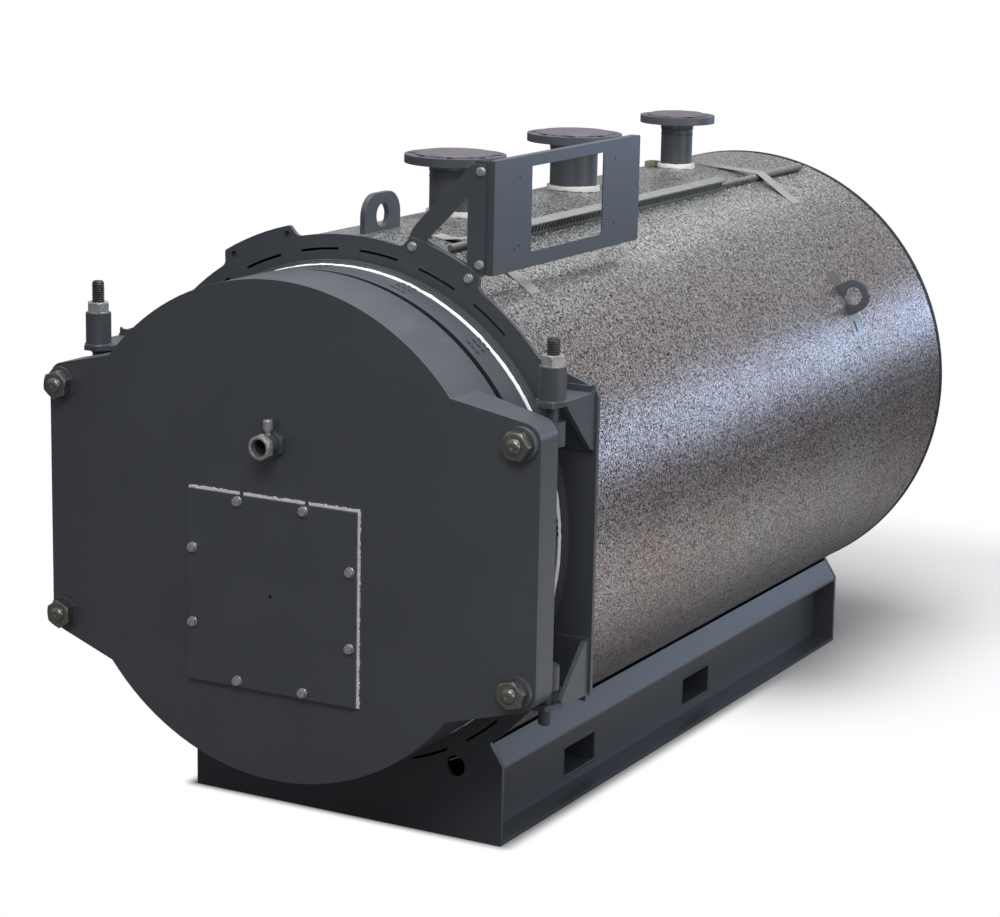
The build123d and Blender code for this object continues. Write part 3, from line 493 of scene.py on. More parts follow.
rear_pipe_y = middle("safety_nozzle")[1]
offcut = bar((0.028, 0.030, 0.013), (-0.064, rear_pipe_y, axis_z + jacket_r + 0.0045), 1.5)
fit(roughened(offcut, 12, 1.5), "felt_offcut", "boiler", "white_rope", olive_felt)

# Transport caps: thin grey-violet film drawn over each flange's bore for the journey, domed and
# wrinkled, its uneven edge stuck to the flange's face.

# Stretch film: grey-violet, half-glossy, with long soft wrinkles.
cap_film = speckled(
    "grey_stretch_film", 28, 3.0, "#48444B", "#655F69", rough=(0.30, 0.50),
    raised=(None, None, 0.35, 0.003), twist=1.2, specular_ior_level=0.4,
)


def turned(stations, segments=48, closed=False):
    # a turned piece on the Z axis: a circle pulled from station to station, each (radius, height)
    radius, height = stations[0]
    piece = added(
        bpy.ops.mesh.primitive_circle_add, vertices=segments, radius=radius, location=(0, 0, height)
    )
    edit_all(piece)
    if not closed:
        bpy.ops.mesh.edge_face_add()
        bpy.ops.mesh.select_all(action="SELECT")
    for before, after in zip(stations, stations[1:]):
        move = {"value": (0, 0, after[1] - before[1])}
        if closed:
            bpy.ops.mesh.extrude_edges_move(TRANSFORM_OT_translate=move)
        else:
            bpy.ops.mesh.extrude_region_move(TRANSFORM_OT_translate=move)
        ratio = after[0] / before[0]
        bpy.ops.transform.resize(value=(ratio, ratio, 1), center_override=(0, 0, after[1]))
    bpy.ops.mesh.select_all(action="SELECT")
    bpy.ops.mesh.remove_doubles(threshold=0.000005)
    bpy.ops.mesh.normals_make_consistent(inside=False)
    bpy.ops.object.mode_set(mode="OBJECT")
    return piece


flange_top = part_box("supply_nozzle")[1].z
film_share = 0.79
caps = []
for k, node in enumerate(nozzle_nodes):
    film_r = film_share * half_width(node)
    disc = turned(
        [(film_r, 0.0), (film_r, 0.0012), (film_r * 0.88, 0.0048), (film_r * 0.55, 0.0062),
         (film_r * 0.2, 0.0066)], 72,
    )
    reshape(
        disc, lambda p: math.hypot(p.x, p.y) > film_r * 0.95, bpy.ops.transform.vertex_random,
        offset=0.0012, uniform=0.2, seed=k + 1,
    )
    moved(disc, 0, middle(node)[1], flange_top + 0.0004)
    caps.append(roughened(disc, 26, 0.9, axis="Z"))
fit(joined(caps), "flange_film_caps", "boiler", "cap_plastic", cap_film, "nozzle_caps", smooth=60)

# Lifting lugs: flame-cut plate with a round eye, welded to the shell through slots in the jacket.
# A smooth strip of plain sheet covers the slot of each rear lug; the gap it leaves below the lug is
# painted shade, a thin dark strip.
for node in ("front_lifting_lug", "rear_lifting_lugs"):
    eased(node, 1.5, "boiler", "graphite_paint", graphite_paint, flat_angle=0.0)

# Turned steel: bare mid-grey metal, mottled by tool marks, bright where an edge catches the light.
turned_steel = speckled(
    "turned_bare_steel", 4, 5.0, "#6E6C68", "#B4B2AD", rough=(0.20, 0.40), metallic=0.92
)
lug_y = middle("rear_lifting_lugs")[1]
cover_half, cover_turn, cover_mm = 0.028, 9, 0.7
gap_w, gap_turn, gap_mm = 0.008, 2, 0.15
slot_covers, slot_gaps = [], []
for side, angle in ((1, 29.0), (-1, 151.0)):
    first, last = angle - cover_turn, angle + cover_turn
    slot_covers.append(arc_strip(jacket_r, first, last, lug_y - cover_half, lug_y + cover_half, cover_mm))
    # painted shade: a thin dark strip on the cover where the gap below the lug lies
    below = angle - side * 6.0
    first, last = below - gap_turn, below + gap_turn
    slot_gaps.append(arc_strip(jacket_r + cover_mm / 1000, first, last, lug_y - gap_w, lug_y, gap_mm))
fit(joined(slot_covers), "lug_slot_covers", "boiler", "galvanised_sheet", turned_steel)
fit(joined(slot_gaps), "lug_slot_gap_painted_shade", "boiler", "dark_trim", black_rubber_and_shade)

# Hinge brackets: welded pads, shelves, gussets and bushes on the frame's ears, painted over.
# Fillet welds show along the gussets and round the bush feet.
eased("hinge_brackets", 1.2, "boiler", "graphite_paint", graphite_paint)
bracket_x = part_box("hinge_brackets")[1].x
frame_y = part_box("front_frame_plate")[0].y
pin_r = 0.013
pin_x = half_width("hinge_pins") - pin_r
pin_y = middle("hinge_pins")[1]
shelf_z = 0.2905
shelf_t = 0.010
bush_r = 0.026


def bead_along(points, bead):
    # a straight or bent fillet weld: a curve with a round section, made a mesh and rippled
    path = bpy.data.curves.new("bead", "CURVE")
    path.dimensions = "3D"
    path.bevel_depth = bead
    path.bevel_resolution = 2
    path.use_fill_caps = True
    run = path.splines.new("POLY")
    run.points.add(len(points) - 1)
    for point, place_on in zip(run.points, points):
        point.co = (*place_on, 1.0)
    piece = bpy.data.objects.new("bead", path)
    bpy.context.scene.collection.objects.link(piece)
    take(piece)
    bpy.ops.object.convert(target="MESH")
    piece = bpy.context.object
    edit_all(piece, "VERT")
    bpy.ops.mesh.subdivide(number_cuts=14)
    bpy.ops.object.mode_set(mode="OBJECT")
    ripple_mm = 0.7 * bead * 1000
    return roughened(piece, 5, ripple_mm)


bracket_beads = []
gusset_bead, shelf_bead, foot_bead = 0.0028, 0.0030, 0.003
pad_y = frame_y - 0.008
shelf_top = axis_z + shelf_z + shelf_t
for side in (1, -1):
    gusset_x = side * (bracket_x - 0.010)
    for up in (1, -1):
        corner_z = axis_z + up * shelf_z
        upright = [(gusset_x, pad_y - 0.002, corner_z - up * off) for off in (0.012, 0.096)]
        level = [(gusset_x, bead_y, corner_z - up * 0.002) for bead_y in (pad_y - 0.008, pin_y + 0.030)]
        bracket_beads += [bead_along(upright, gusset_bead), bead_along(level, gusset_bead)]
    ends = (side * (pin_x + 0.030), side * (bracket_x - 0.004))
    for bead_y, bead_z in ((pad_y - 0.001, 0.001), (pad_y + 0.003, 0.013)):
        bracket_beads.append(bead_along([(x, bead_y, shelf_top + bead_z) for x in ends], shelf_bead))
    foot = moved(weld_ring(bush_r, foot_bead), side * pin_x, pin_y, shelf_top)
    bracket_beads.append(roughened(foot, 5, 1.6))
fit(joined(bracket_beads), "hinge_weld_beads", "boiler", "graphite_paint", graphite_paint)

# Hinge pins: painted steel rod through bush, shelf and eye, with a zinc nut on the bush. Above the
# nut each pin ends in a rolled, blackened thread.

# Black-oxide steel: dark grey metal with a soft oily gloss.
black_oxide = speckled(
    "black_oxide_steel", 8, 4.0, "#3E3F41", "#7A7C7F", rough=(0.30, 0.48), metallic=0.85
)


def threaded(radius, length, pitch_mm=3.0, depth_mm=1.6):
    # a threaded length: one ridge turned, repeated by an array and closed by flat ends
    pitch = pitch_mm / 1000
    root = radius - depth_mm / 1000
    ridge = added(bpy.ops.mesh.primitive_circle_add, vertices=32, radius=root)
    edit_all(ridge)
    height = 0.0
    width = root
    for rise, reach in ((0.42, radius), (0.16, radius), (0.42, root)):
        height += rise * pitch
        bpy.ops.mesh.extrude_edges_move(TRANSFORM_OT_translate={"value": (0, 0, rise * pitch)})
        bpy.ops.transform.resize(value=(reach / width, reach / width, 1), center_override=(0, 0, height))
        width = reach
    bpy.ops.object.mode_set(mode="OBJECT")
    count = max(1, round(length / pitch))
    modify(
        ridge, "ARRAY", count=count, use_relative_offset=False, use_constant_offset=True,
        constant_offset_displace=(0, 0, pitch), use_merge_vertices=True, merge_threshold=0.00005,
    )
    edit_all(ridge)
    bpy.ops.mesh.normals_make_consistent(inside=False)
    bpy.ops.mesh.select_all(action="DESELECT")
    bpy.ops.mesh.select_non_manifold()
    bpy.ops.mesh.edge_face_add()
    bpy.ops.object.mode_set(mode="OBJECT")
    return ridge


def hexagon(across, height):
    # a hex nut or bolt head standing on z = 0, its upper corners turned off at 30 degrees
    half_way = (0, 0, height / 2)
    head = added(
        bpy.ops.mesh.primitive_cylinder_add, vertices=6, radius=across / math.sqrt(3), depth=height,
        location=half_way,
    )
    face_r = 0.475 * across
    cutter = added(
        bpy.ops.mesh.primitive_cone_add, vertices=72, radius2=face_r, depth=height, location=half_way,
        radius1=face_r + height / math.tan(math.radians(30)),
    )
    modify(head, "BOOLEAN", operation="INTERSECT", object=cutter, solver="EXACT")
    drop(cutter)
    return modify(
        head, "BEVEL", width=0.0003, segments=1, limit_method="ANGLE", angle_limit=math.radians(25)
    )


pins, pin_threads, pin_nuts = [], [], []
bush_top, low_end = axis_z + 0.3665, axis_z - 0.335
nut_across, nut_height = 0.041, 0.022
for side, pin_top, pin_inner in ((1, 0.421, 0.205), (-1, 0.432, 0.2682)):
    at_pin = (side * pin_x, pin_y)
    tip = axis_z + pin_top
    rod = threaded(pin_r, tip - bush_top - 0.004, pitch_mm=4.6, depth_mm=2.0)
    pin_threads.append(moved(rod, *at_pin, bush_top))
    end = turned(
        [(pin_r - 0.0012, -0.006), (pin_r - 0.0012, 0.0), (pin_r - 0.0035, 0.003),
         (pin_r - 0.009, 0.0035)], 32,
    )
    pin_threads.append(moved(end, *at_pin, tip - 0.0035))
    shank_low = axis_z + pin_inner
    shank = turned([(pin_r - 0.003, 0.0), (pin_r, 0.003), (pin_r, bush_top - shank_low)], 32)
    pins.append(moved(shank, *at_pin, shank_low))
    lower_len = axis_z - pin_inner - low_end
    lower = turned(
        [(pin_r - 0.004, 0.0), (pin_r, 0.003), (pin_r, lower_len - 0.003), (pin_r - 0.003, lower_len)], 32
    )
    pins.append(moved(lower, *at_pin, low_end))
    spin = Matrix.Rotation(0.35 * side, 4, "Z")
    nut = moved(hexagon(nut_across, nut_height), *at_pin, bush_top, spin)
    ring = turned([(0.0222, 0.0), (0.0222, 0.0016), (0.0216, 0.0022)], 40)
    pin_nuts += [nut, moved(ring, *at_pin, bush_top)]
fit(joined(pins), "hinge_pin_shanks", "boiler", "dark_steel", graphite_paint, "hinge_pins")
fit(joined(pin_threads), "hinge_pin_threads", "boiler", "dark_steel", black_oxide, smooth=30)
fit(joined(pin_nuts), "hinge_pin_nuts", "boiler", "zinc_steel", zinc_plate, "hinge_nuts", smooth=20)

# Control-panel carrier: a laser-cut triangle bolted behind the right tab and a folded sheet
# plate with a window, both painted. Zinc hex bolts with washers hold them; behind the left tab's
# spare holes sit weld nuts.
eased("panel_bracket", 0.8, "boiler", "graphite_paint", graphite_paint)
eased("panel_plate", 1.0, "boiler", "graphite_paint", graphite_paint)
bolt_across, bolt_height = 0.0150, 0.006
washer_r, washer_t = 0.0093, 0.0016
ring = turned([(washer_r, 0.0), (washer_r, washer_t - 0.0004), (washer_r - 0.0005, washer_t)], 40)
bolt = joined([moved(hexagon(bolt_across, bolt_height), 0, 0, washer_t), ring])
to_front = Matrix.Rotation(math.radians(90), 4, "X")
tab_bolt_r = 0.5645
bracket_low, bracket_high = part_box("panel_bracket")
bolt_places = []
for angle in (75.0, 61.0):
    turn = math.radians(angle)
    bolt_places.append((tab_bolt_r * math.cos(turn), frame_y, axis_z + tab_bolt_r * math.sin(turn)))
post_bolt_x = bracket_high.x - 0.0095
bolt_places.append((post_bolt_x, bracket_low.y, bracket_high.z - 0.013))
bolt_places.append((post_bolt_x, bracket_low.y, bolt_places[1][2] + 0.0265))
bolts = []
for k, seat in enumerate(bolt_places):
    spin = Matrix.Rotation(0.4 * k, 4, "Z")
    bolts.append(copy_at(bolt, Matrix.Translation(seat) @ to_front @ spin))
fit(joined(bolts), "bracket_bolts", "boiler", "zinc_steel", zinc_plate, smooth=20)
to_back = Matrix.Rotation(math.radians(-90), 4, "X")
frame_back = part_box("front_frame_plate")[1].y
spare = hexagon(0.019, 0.009)
weld_nuts = []
for x, _, z in bolt_places[:2]:
    weld_nuts.append(copy_at(spare, Matrix.Translation((-x, frame_back, z)) @ to_back))
drop(spare)
fit(joined(weld_nuts), "spare_tab_weld_nuts", "boiler", "graphite_paint", graphite_paint, smooth=20)

# Cable duct on the jacket: grey PVC wiring duct with combed side walls and a snap-on lid, set on
# the jacket's seam. A grey corrugated conduit runs into it at the front and on from its rear end.

# Rigid PVC: neutral grey, slightly glossy, a little dusty.
grey_pvc = speckled(
    "grey_pvc_extruded", 35, 5.0, "#6A6C6B", "#868885", rough=(0.45, 0.65), specular_ior_level=0.4
)

duct_angle = 71.7
duct_w, duct_h = 0.023, 0.027
duct_y0, duct_y1 = (corner.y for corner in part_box("cable_tray"))
duct_middle = (duct_y0 + duct_y1) / 2
duct_len = duct_y1 - duct_y0
comb_from, finger_pitch, finger_w = 0.0070, 0.0145, 0.0070
wall_t, lid_t, lip_t, lid_lip = 0.0016, 0.0018, 0.0012, 0.0045
duct_foot = axis_z + jacket_r + 0.0011
duct_top = axis_z + jacket_r + duct_h
lid_parts = [bar((duct_w + 0.001, duct_len, lid_t), (0, duct_middle, duct_top - lid_t / 2), 0.5)]
duct_parts = [bar((duct_w, duct_len, wall_t), (0, duct_middle, duct_foot + wall_t / 2), 0.3)]
for side in (1, -1):
    wall_x = side * (duct_w / 2 - wall_t)
    lip_z = duct_top - lid_lip / 2
    lid_parts.append(bar((lip_t, duct_len, lid_lip), (side * duct_w / 2, duct_middle, lip_z), 0.3))
    duct_parts.append(
        bar((wall_t, duct_len, comb_from), (wall_x, duct_middle, duct_foot + comb_from / 2), 0.3)
    )
    finger_h = duct_top - duct_foot - comb_from - lid_t
    finger_at = (wall_x, duct_y0 + finger_w / 2, duct_foot + comb_from + finger_h / 2)
    finger = bar((wall_t, finger_w, finger_h), finger_at, 0.25)
    modify(
        finger, "ARRAY", count=int((duct_len - finger_w) / finger_pitch) + 1, use_relative_offset=False,
        use_constant_offset=True, constant_offset_displace=(0, finger_pitch, 0),
    )
    duct_parts.append(finger)
duct = joined(duct_parts)
duct.data.transform(about_axis(duct_angle))
lid = joined(lid_parts)
lid.data.transform(about_axis(duct_angle))
fit(lid, "cable_duct_lid", "boiler", "galvanised_sheet", grey_pvc, smooth=30)

conduit_low, conduit_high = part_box("conduit")
conduit_r = half_width("conduit")
conduit_x, _, conduit_z = middle("conduit")
door_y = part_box("door_front_plate")[0].y
sleeve_y = door_y + 1.905
# a dark block in the duct stands for the cables and is also painted shade that darkens the duct's slots
cables_and_shade = bar((duct_w - 0.006, duct_len - 0.01, 0.017), (0, duct_middle, duct_foot + 0.013), 3.0)
cables_and_shade.data.transform(about_axis(duct_angle))
fit(cables_and_shade, "duct_cables_and_shade", "boiler", "dark_trim", black_rubber_and_shade, smooth=40)

# Conduit plastic: the same grey a good deal darker, matt with dust in its grooves. The duct's
# combed walls have it too.
conduit_pvc = speckled(
    "dark_grey_conduit_plastic", 22, 5.0, "#5C5E5D", "#7E807D", roughness=0.55, specular_ior_level=0.4
)
fit(duct, "cable_duct_slotted", "boiler", "galvanised_sheet", conduit_pvc, "cable_tray", smooth=30)
runs = []
for y0, y1, radius in (
    (conduit_low.y, duct_y0 + 0.02, conduit_r),
    (duct_y1 - 0.02, sleeve_y + 0.01, conduit_r - 0.0012),
    (sleeve_y, conduit_high.y - 0.016, conduit_r + 0.0014),
):
    hose = threaded(radius, y1 - y0, pitch_mm=4.4, depth_mm=1.3)
    runs.append(moved(hose, conduit_x, y0, conduit_z, to_back))
cuff = turned(
    [(conduit_r, -0.030), (conduit_r + 0.0022, -0.028), (conduit_r + 0.0026, -0.012),
     (conduit_r + 0.0018, -0.004), (conduit_r - 0.001, -0.001), (conduit_r - 0.004, 0.0)], 32,
)
runs.append(moved(cuff, conduit_x, conduit_high.y, conduit_z, to_back))
fit(joined(runs), "corrugated_conduit", "boiler", "dark_trim", conduit_pvc, "conduit", smooth=50)

# Adhesive tape: two strips of grey cloth tape pulled straight over the conduit like a tent, each
# end pressed down on the jacket.

# Cloth tape: silver-grey film over a woven scrim, half-matt, the threads just showing.
cloth_tape = speckled(
    "grey_cloth_tape", 40, 4.0, "#737573", "#929492", rough=(0.40, 0.60),
    raised=(2.5, 2.0, 0.3, 0.0005), specular_ior_level=0.45,
)


def strip_through(points, y_low, y_high, thick_mm):
    # a strip laid through points of the boiler's cross-section, each (angle, height over the
    # jacket in mm): an edge pulled from point to point and thickened
    path = []
    for angle, over in points:
        reach, turn = jacket_r + over / 1000, math.radians(angle)
        path.append((reach * math.cos(turn), axis_z + reach * math.sin(turn)))
    first_x, first_z = path[0]
    take(None)
    bpy.ops.mesh.primitive_plane_add(size=1, location=(first_x + 0.5, (y_low + y_high) / 2, first_z))
    piece = bpy.context.object
    piece.scale = (1, y_high - y_low, 1)
    bpy.ops.object.transform_apply()
    reshape(piece, lambda p: p.x > first_x + 0.5, bpy.ops.mesh.delete, type="VERT")
    edit_all(piece)
    for before, after in zip(path, path[1:]):
        bpy.ops.mesh.extrude_edges_move(
            TRANSFORM_OT_translate={"value": (after[0] - before[0], 0, after[1] - before[1])}
        )
    bpy.ops.mesh.select_all(action="SELECT")
    bpy.ops.mesh.subdivide(number_cuts=3)
    bpy.ops.object.mode_set(mode="OBJECT")
    return modify(piece, "SOLIDIFY", thickness=thick_mm / 1000, offset=0.0)


over_conduit, tape_mm = 18.6, 0.5
tapes = []
# each strip's edges, in metres behind the door, and the angles where its ends lie
for y0, y1, first, last in ((1.863, 1.908, 88.6, 59.3), (0.430, 0.472, 80.0, 53.8)):
    path = [(first, 0.6), (first - 3.0, 0.7), (duct_angle + 0.5, over_conduit)]
    path += [(duct_angle, over_conduit + 0.3), (duct_angle - 0.5, over_conduit)]
    path += [(last + 2.2, 0.7), (last, 0.6)]
    tapes.append(roughened(strip_through(path, door_y + y0, door_y + y1, tape_mm), 18, 0.7))
fit(joined(tapes), "cloth_tape_strips", "boiler", "galvanised_sheet", cloth_tape)

# Door: a dished steel door of a front plate with two clamp ears, folded ear rims, a rolled drum
# and a collar that reaches over the seal, welded and painted like the frame.
for node, edge_mm in (
    ("door_front_plate", 2.0), ("door_ear_rims", 1.5), ("door_drum", 1.5), ("door_collar", 2.0)
):
    eased(node, edge_mm, "door", "graphite_paint", graphite_paint)

# Collar marks: sixteen groups of three rows of short grooves, rolled into the collar's sheet before it
# was welded on; their shade is painted as thin dark strips on the collar. In the groove between drum and
# collar, a thin black ring on the collar's front face is painted shade.
collar_r = half_width("door_collar")
mark_w, mark_turn, mark_mm = 0.0060, 1.2, 0.15
marks = []
# painted shade: each groove is a thin dark strip laid on the collar's surface
for row_y in (0.190, 0.212, 0.234):
    for start in (87.9, 89.4, 90.9):
        mark_y = door_y + row_y
        marks.append(
            arc_strip(collar_r + 0.00005, start, start + mark_turn, mark_y, mark_y + mark_w, mark_mm)
        )
group = joined(marks)
marks = [copy_at(group, about_axis(48.8 + 22.5 * k)) for k in range(16)]
drop(group)
fit(joined(marks), "collar_groove_shade_marks", "door", "dark_trim", black_rubber_and_shade)
# painted shade: a thin black ring on the collar's front face, in the groove between drum and collar
groove_in, groove_out, shade_ring_t, groove_y = 0.4845, 0.4972, 0.0012, door_y + 0.1729
groove = turned(
    [(groove_in, 0), (groove_out, 0), (groove_out, shade_ring_t), (groove_in, shade_ring_t),
     (groove_in, 0)], 240, closed=True,
)
moved(groove, 0, groove_y, axis_z, to_front)
fit(groove, "collar_groove_shade_ring", "door", "dark_trim", black_rubber_and_shade)

# Door lining: refractory concrete, cast into the door's dish in one pour and held by anchors. It
# is seen only when the door is open.

# Refractory concrete: sandy beige, matt, with coarse grains and pores.
cast_refractory = speckled(
    "cast_refractory", 7, 6.0, "#9C8B70", "#D8CBB4", raised=(None, None, 0.7, 0.002),
    roughness=0.95, specular_ior_level=0.2,
)
dress("door_lining", cast_refractory)

# Burner plate: blank steel plate on a white fibre gasket, held by eight zinc bolts. The gasket
# is torn by hand, so its edge is ragged where it looks out, and it is notched above two bolts.
eased("burner_plate", 1.0, "door", "graphite_paint", graphite_paint)
plate_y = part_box("burner_plate")[0].y
plate_x, _, plate_z = middle("burner_plate")
gasket_low, gasket_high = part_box("burner_gasket")
gasket_half = half_width("burner_gasket")
gasket_x, gasket_z = plate_x + 0.0012, plate_z + 0.0016


def off_centre(point):
    # how far a point of the gasket lies from its middle, across or up
    return max(abs(point.x - gasket_x), abs(point.z - gasket_z))


gasket = added(
    bpy.ops.mesh.primitive_grid_add, x_subdivisions=110, y_subdivisions=110, size=2 * gasket_half,
    location=(gasket_x, middle("burner_gasket")[1], gasket_z), rotation=(math.radians(90), 0, 0),
)
reshape(gasket, lambda p: off_centre(p) < gasket_half - 0.02, bpy.ops.mesh.delete, type="VERT")
notch_z, notch_half = gasket_z + gasket_half - 0.012, 0.0035
for notch_x in (plate_x - 0.0735, plate_x + 0.0785):
    reshape(
        gasket, lambda p: p.z > notch_z and abs(p.x - notch_x) < notch_half, bpy.ops.mesh.delete,
        type="VERT",
    )
reshape(
    gasket, lambda p: off_centre(p) > gasket_half - 0.002, bpy.ops.transform.vertex_random,
    offset=0.0022, uniform=0.0, seed=4,
)
modify(gasket, "SOLIDIFY", thickness=gasket_high.y - gasket_low.y - 0.0004, offset=0.0)
fit(gasket, "burner_gasket_fibre", "door", "white_rope", mineral_fibre, "burner_gasket", smooth=60)

bolts = []
near, far, bolt_growth = 0.076, 0.182, 1.1
ring_of_eight = (
    (-near, far), (near, far), (far, near), (far, -near),
    (near, -far), (-near, -far), (-far, -near), (-far, near),
)
for k, (dx, dz) in enumerate(ring_of_eight):
    seat = Matrix.Translation((plate_x + dx, plate_y, plate_z + dz)) @ to_front
    bolts.append(copy_at(bolt, seat @ Matrix.Rotation(0.7 * k, 4, "Z") @ Matrix.Scale(bolt_growth, 4)))
drop(bolt)
fit(joined(bolts), "burner_plate_bolts", "door", "zinc_steel", zinc_plate, smooth=20)

# Flame sight pipe: a painted hex foot and pipe welded to the door, a plated hex ring with a round
# rim screwed on its end, and a plated air nipple on top.
sight_low, sight_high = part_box("sight_pipe")
sight_z = middle("sight_pipe")[2]
sight_len = sight_high.y - sight_low.y
tube_in, tube_out, tube_end = 0.0172, 0.0212, sight_len - 0.0145
foot_h = 0.010
foot = hexagon(0.050, foot_h)
tube = turned(
    [(tube_in, 0.0), (tube_out, 0.0), (tube_out, tube_end), (tube_in, tube_end), (tube_in, 0.0)],
    closed=True,
)
weld = moved(roughened(weld_ring(0.0225, 0.003), 5, 1.5), 0, 0, foot_h)
base = joined([foot, tube, weld])
stand = Matrix.Translation((0, sight_high.y, sight_z)) @ to_front
base.data.transform(stand)
fit(base, "sight_pipe_painted", "door", "graphite_paint", graphite_paint, "sight_pipe", smooth=30)

ring = hexagon(0.0455, 0.012)
bore_r, shade_disc_r, shade_disc_t = 0.0175, 0.0170, 0.001
bore = turned([(bore_r, -0.01), (bore_r, 0.04)])
modify(ring, "BOOLEAN", operation="DIFFERENCE", object=bore, solver="EXACT")
drop(bore)
rim_out, rim_len = 0.0238, 0.0158
rim = turned(
    [(tube_in, 0.001), (rim_out, 0.001), (rim_out, 0.0125), (0.0228, 0.0150), (tube_out, rim_len),
     (0.0178, rim_len), (tube_in, 0.0150), (tube_in, 0.001)], closed=True,
)
ring = joined([ring, rim])
ring.data.transform(stand @ Matrix.Translation((0, 0, sight_len - rim_len)))
fit(ring, "sight_end_ring", "door", "dark_steel", zinc_plate, smooth=20)
# painted shade: a dark disc down in the pipe's bore stands for the shade deep in the hole
bore_shade_disc = turned([(shade_disc_r, 0.0), (shade_disc_r, shade_disc_t)])
bore_shade_disc.data.transform(stand @ Matrix.Translation((0, 0, foot_h + 0.0002)))
fit(bore_shade_disc, "sight_bore_shade_disc", "door", "dark_trim", black_rubber_and_shade)
nipple_low, nipple_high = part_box("sight_nipple")
height = nipple_high.z - nipple_low.z
stem_r, cap_r = 0.0068, 0.0098
nipple = turned(
    [(stem_r, 0.0), (stem_r, 0.003), (0.0050, 0.004), (0.0050, 0.006), (stem_r, 0.007),
     (stem_r, height - 0.020), (0.0092, height - 0.0185), (cap_r, height - 0.017),
     (cap_r, height - 0.001), (0.0086, height + 0.001), (0.0030, height + 0.001),
     (0.0028, height - 0.001)], 40,
)
moved(nipple, 0, middle("sight_nipple")[1], nipple_low.z)
fit(nipple, "sight_air_nipple", "door", "zinc_steel", zinc_plate, "sight_nipple", smooth=30)

# Clamp eye bolts: studs with forged eyes on the hinge pins and heavy washers, painted with the
# door. Bare turned hex nuts on the studs' bare thread ends pull the door shut.
eased("clamp_washers", 1.5, "door", "graphite_paint", graphite_paint)
nut_low, nut_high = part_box("clamp_nuts")
clamp_washer_r = 0.034
stud_x = half_width("clamp_washers") - clamp_washer_r
stud_z = 0.2387
stud_r = 0.016
tip_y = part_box("clamp_eye_bolts")[0].y
nuts, studs = [], []
nut = hexagon(0.052, nut_high.y - nut_low.y)
stud_len = nut_high.y - tip_y
rod = threaded(stud_r, stud_len - 0.006)
tip = turned(
    [(stud_r - 0.0005, stud_len - 0.012), (stud_r - 0.0005, stud_len - 0.0065),
     (stud_r - 0.0012, stud_len - 0.004), (stud_r - 0.003, stud_len - 0.0018),
     (stud_r - 0.0062, stud_len - 0.0004), (stud_r - 0.0095, stud_len), (0.0028, stud_len),
     (0.0006, stud_len - 0.0018)], 40,
)
stud = joined([rod, tip])
for k, (side, up) in enumerate(((1, 1), (1, -1), (-1, 1), (-1, -1))):
    seat = Matrix.Translation((side * stud_x, nut_high.y, axis_z + up * stud_z)) @ to_front
    nuts.append(copy_at(nut, seat @ Matrix.Rotation(math.radians(30 + 11 * k), 4, "Z")))
    studs.append(copy_at(stud, seat))
drop(nut)
drop(stud)
fit(joined(nuts), "clamp_hex_nuts", "door", "dark_steel", turned_steel, "clamp_nuts", smooth=20)
fit(joined(studs), "clamp_stud_threads", "door", "dark_steel", turned_steel, smooth=40)
eyes = eased("clamp_eye_bolts", 1.0, "door", "dark_steel", graphite_paint)
reshape(
    eyes, lambda p: p.y < nut_low.y + 0.002, bpy.ops.transform.translate,
    value=(0, nut_low.y + 0.006 - tip_y, 0),
)

# Studio: a white sweep under the boiler. Overhead hang a soft box that gives light without a
# mirror image and a weak one for sheen; weak boxes stand at the right, the front and the back, a
# small lamp high behind, and a long cool strip at the right rear draws the band along the jacket.

# White paper: matt paper with the boiler's soft shadow close by, burnt out to plain white further
# off. Only the camera sees it so; to all other light it is grey, darker in front of the base.
white_floor, tree, shader, place = new_finish("white_paper_sweep", roughness=0.9, specular_ior_level=0.1)
shader.inputs["Base Color"].default_value = linear("#D4D4D4")
ray = tree.nodes.new("ShaderNodeLightPath")


def clear_of(tree, place, centre, half, soft):
    # 0 inside a rectangle on the floor, rising to 1 at this distance from it
    off = place
    for step, other in (
        ("SUBTRACT", centre), ("ABSOLUTE", None), ("SUBTRACT", half), ("MAXIMUM", (0.0, 0.0)),
        ("LENGTH", None),
    ):
        inputs = {0: off, 1: (*other, 0.0)} if other else {0: off}
        made = add_node(tree, "ShaderNodeVectorMath", inputs, operation=step)
        off = made.outputs["Value" if step == "LENGTH" else "Vector"]
    return ranged(tree, off, source=(0.0, soft), interpolation_type="SMOOTHSTEP")


rail_low, rail_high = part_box("base_rails")
base_half = (rail_high.x, (rail_high.y - rail_low.y) / 2)
base_centre = (0.0, middle("base_rails")[1])
shade_centre, shade_half, shade_soft, base_soft = (0.05, 1.20), (0.38, 0.55), 0.60, 0.04
off_shade = clear_of(tree, place, shade_centre, shade_half, shade_soft)
burnt = product(tree, off_shade, clear_of(tree, place, base_centre, base_half, base_soft))
paper = add_node(tree, "ShaderNodeEmission", {"Color": linear("#FFFFFF"), "Strength": 1.0})
seen = add_node(
    tree, "ShaderNodeMixShader", {0: burnt, 1: shader.outputs["BSDF"], 2: paper.outputs["Emission"]}
)
where = add_node(tree, "ShaderNodeSeparateXYZ", {"Vector": place})
right_side = ranged(tree, where.outputs["X"], source=(0.30, 0.80))
behind = ranged(tree, where.outputs["Y"], source=(-0.60, 0.0))
near_by = ranged(tree, where.outputs["Y"], source=(2.6, 1.0))
bright = product(tree, product(tree, right_side, behind), near_by)
grey = mixed(tree, bright, linear("#626262"), linear("#B0B0B0"))
mid_grey = add_node(tree, "ShaderNodeBsdfDiffuse", {"Color": grey})
blend = add_node(
    tree, "ShaderNodeMixShader",
    {0: ray.outputs["Is Camera Ray"], 1: mid_grey.outputs["BSDF"], 2: seen.outputs["Shader"]},
)
tree.links.new(blend.outputs["Shader"], tree.nodes["Material Output"].inputs["Surface"])
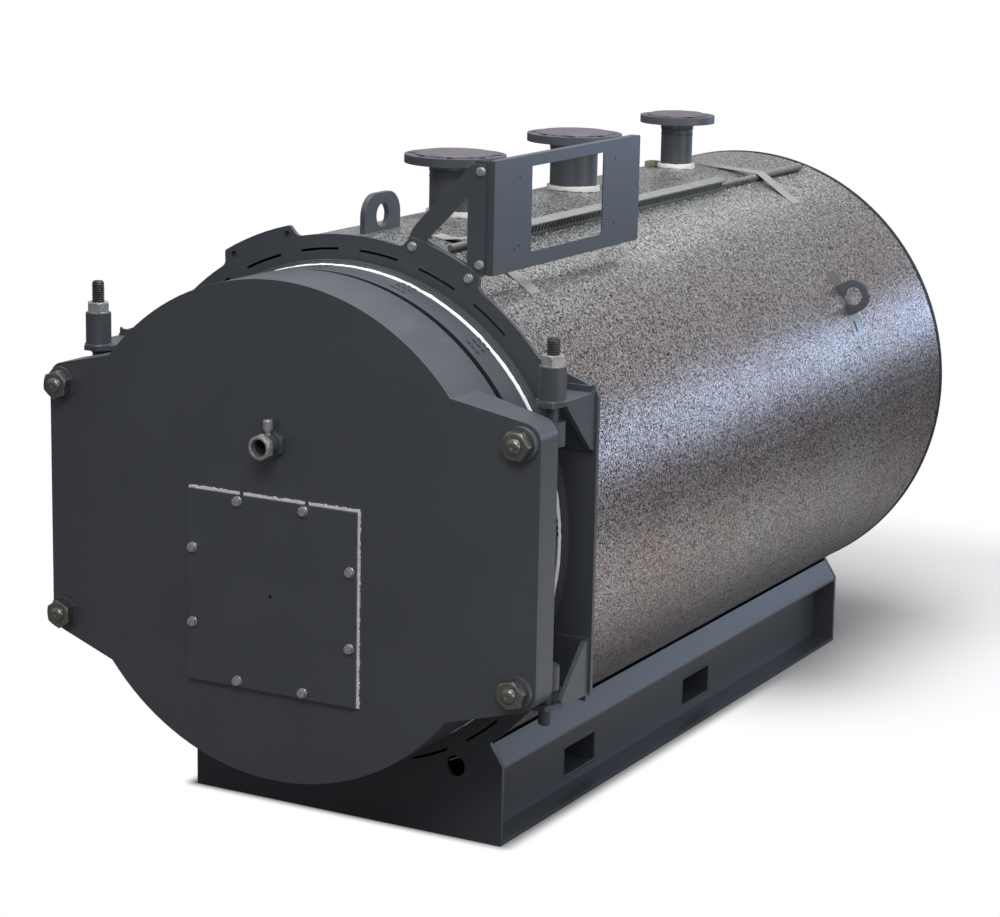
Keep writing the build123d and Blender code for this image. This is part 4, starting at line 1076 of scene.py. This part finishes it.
floor = added(bpy.ops.mesh.primitive_plane_add, size=60)
floor.name = "white_floor"
floor.data.materials.append(white_floor)

world = bpy.data.worlds.new("studio_white")
bpy.context.scene.world = world
world.use_nodes = True
tree = world.node_tree
sky = tree.nodes["Background"]
ray = tree.nodes.new("ShaderNodeLightPath")
level = ranged(tree, ray.outputs["Is Camera Ray"], to=(0.33, 1.0))
sky.inputs["Color"].default_value = linear("#FFFFFF")
tree.links.new(level, sky.inputs["Strength"])


def soft_box(name, place_at, aim, size, watts, colour="#FFFFFF", mirrored=True):
    # a rectangular lamp that the camera doesn't see, turned towards its aim
    lamp = bpy.data.lights.new(name, "AREA")
    lamp.shape = "RECTANGLE"
    lamp.size, lamp.size_y = size
    lamp.energy = watts
    lamp.color = linear(colour)[:3]
    holder = bpy.data.objects.new(name, lamp)
    bpy.context.scene.collection.objects.link(holder)
    holder.visible_camera = False
    holder.visible_glossy = mirrored
    holder.location = place_at
    holder.rotation_euler = (Vector(aim) - Vector(place_at)).to_track_quat("-Z", "Y").to_euler()


soft_box("overhead_box", (0.3, -0.2, 4.2), (0, -0.1, 0.6), (1.6, 3.4), 182, mirrored=False)
soft_box("overhead_sheen", (0.3, -0.2, 4.3), (0, -0.1, 0.6), (2.4, 3.6), 38)
soft_box("right_box", (5.5, -0.6, 1.6), (0, 0.0, 0.7), (4.0, 2.0), 49)
soft_box("right_strip", (2.5, 4.2, 1.20), (0.5, 0.2, 0.83), (3.6, 0.30), 21, "#B4CFF6")
soft_box("back_box", (-0.5, 6.5, 2.4), (0, 0.0, 1.0), (5.0, 2.0), 2)
soft_box("back_lamp", (0.10, 6.1, 5.0), (0.36, -0.4, 1.1), (0.4, 0.4), 7)
soft_box("front_fill", (1.8, -4.6, 4.2), (0, -1.0, 0.8), (2.4, 1.6), 90)

# Camera: the photograph's own view, from the front right and a little above, slightly rolled.
azimuth, elevation, roll = (math.radians(v) for v in (28.505, 12.463, 1.129))
level_part = math.cos(elevation)
back = Vector((math.sin(azimuth) * level_part, -math.cos(azimuth) * level_part, math.sin(elevation)))
right = (-back).cross(Vector((0, 0, 1))).normalized()
up = right.cross(-back)
right_r = math.cos(roll) * right + math.sin(roll) * up
up_r = math.cos(roll) * up - math.sin(roll) * right
lens = bpy.data.cameras.new("photo_camera")
lens.sensor_width = 36.0
lens.sensor_fit = "HORIZONTAL"
lens.lens = 100.97
camera = bpy.data.objects.new("photo_camera", lens)
bpy.context.scene.collection.objects.link(camera)
camera_at = Matrix.Translation((2.9024, -5.5680, 1.9801))
camera.matrix_world = camera_at @ Matrix((right_r, up_r, back)).transposed().to_4x4()
bpy.context.scene.camera = camera
bpy.context.scene.view_settings.view_transform = "Standard"
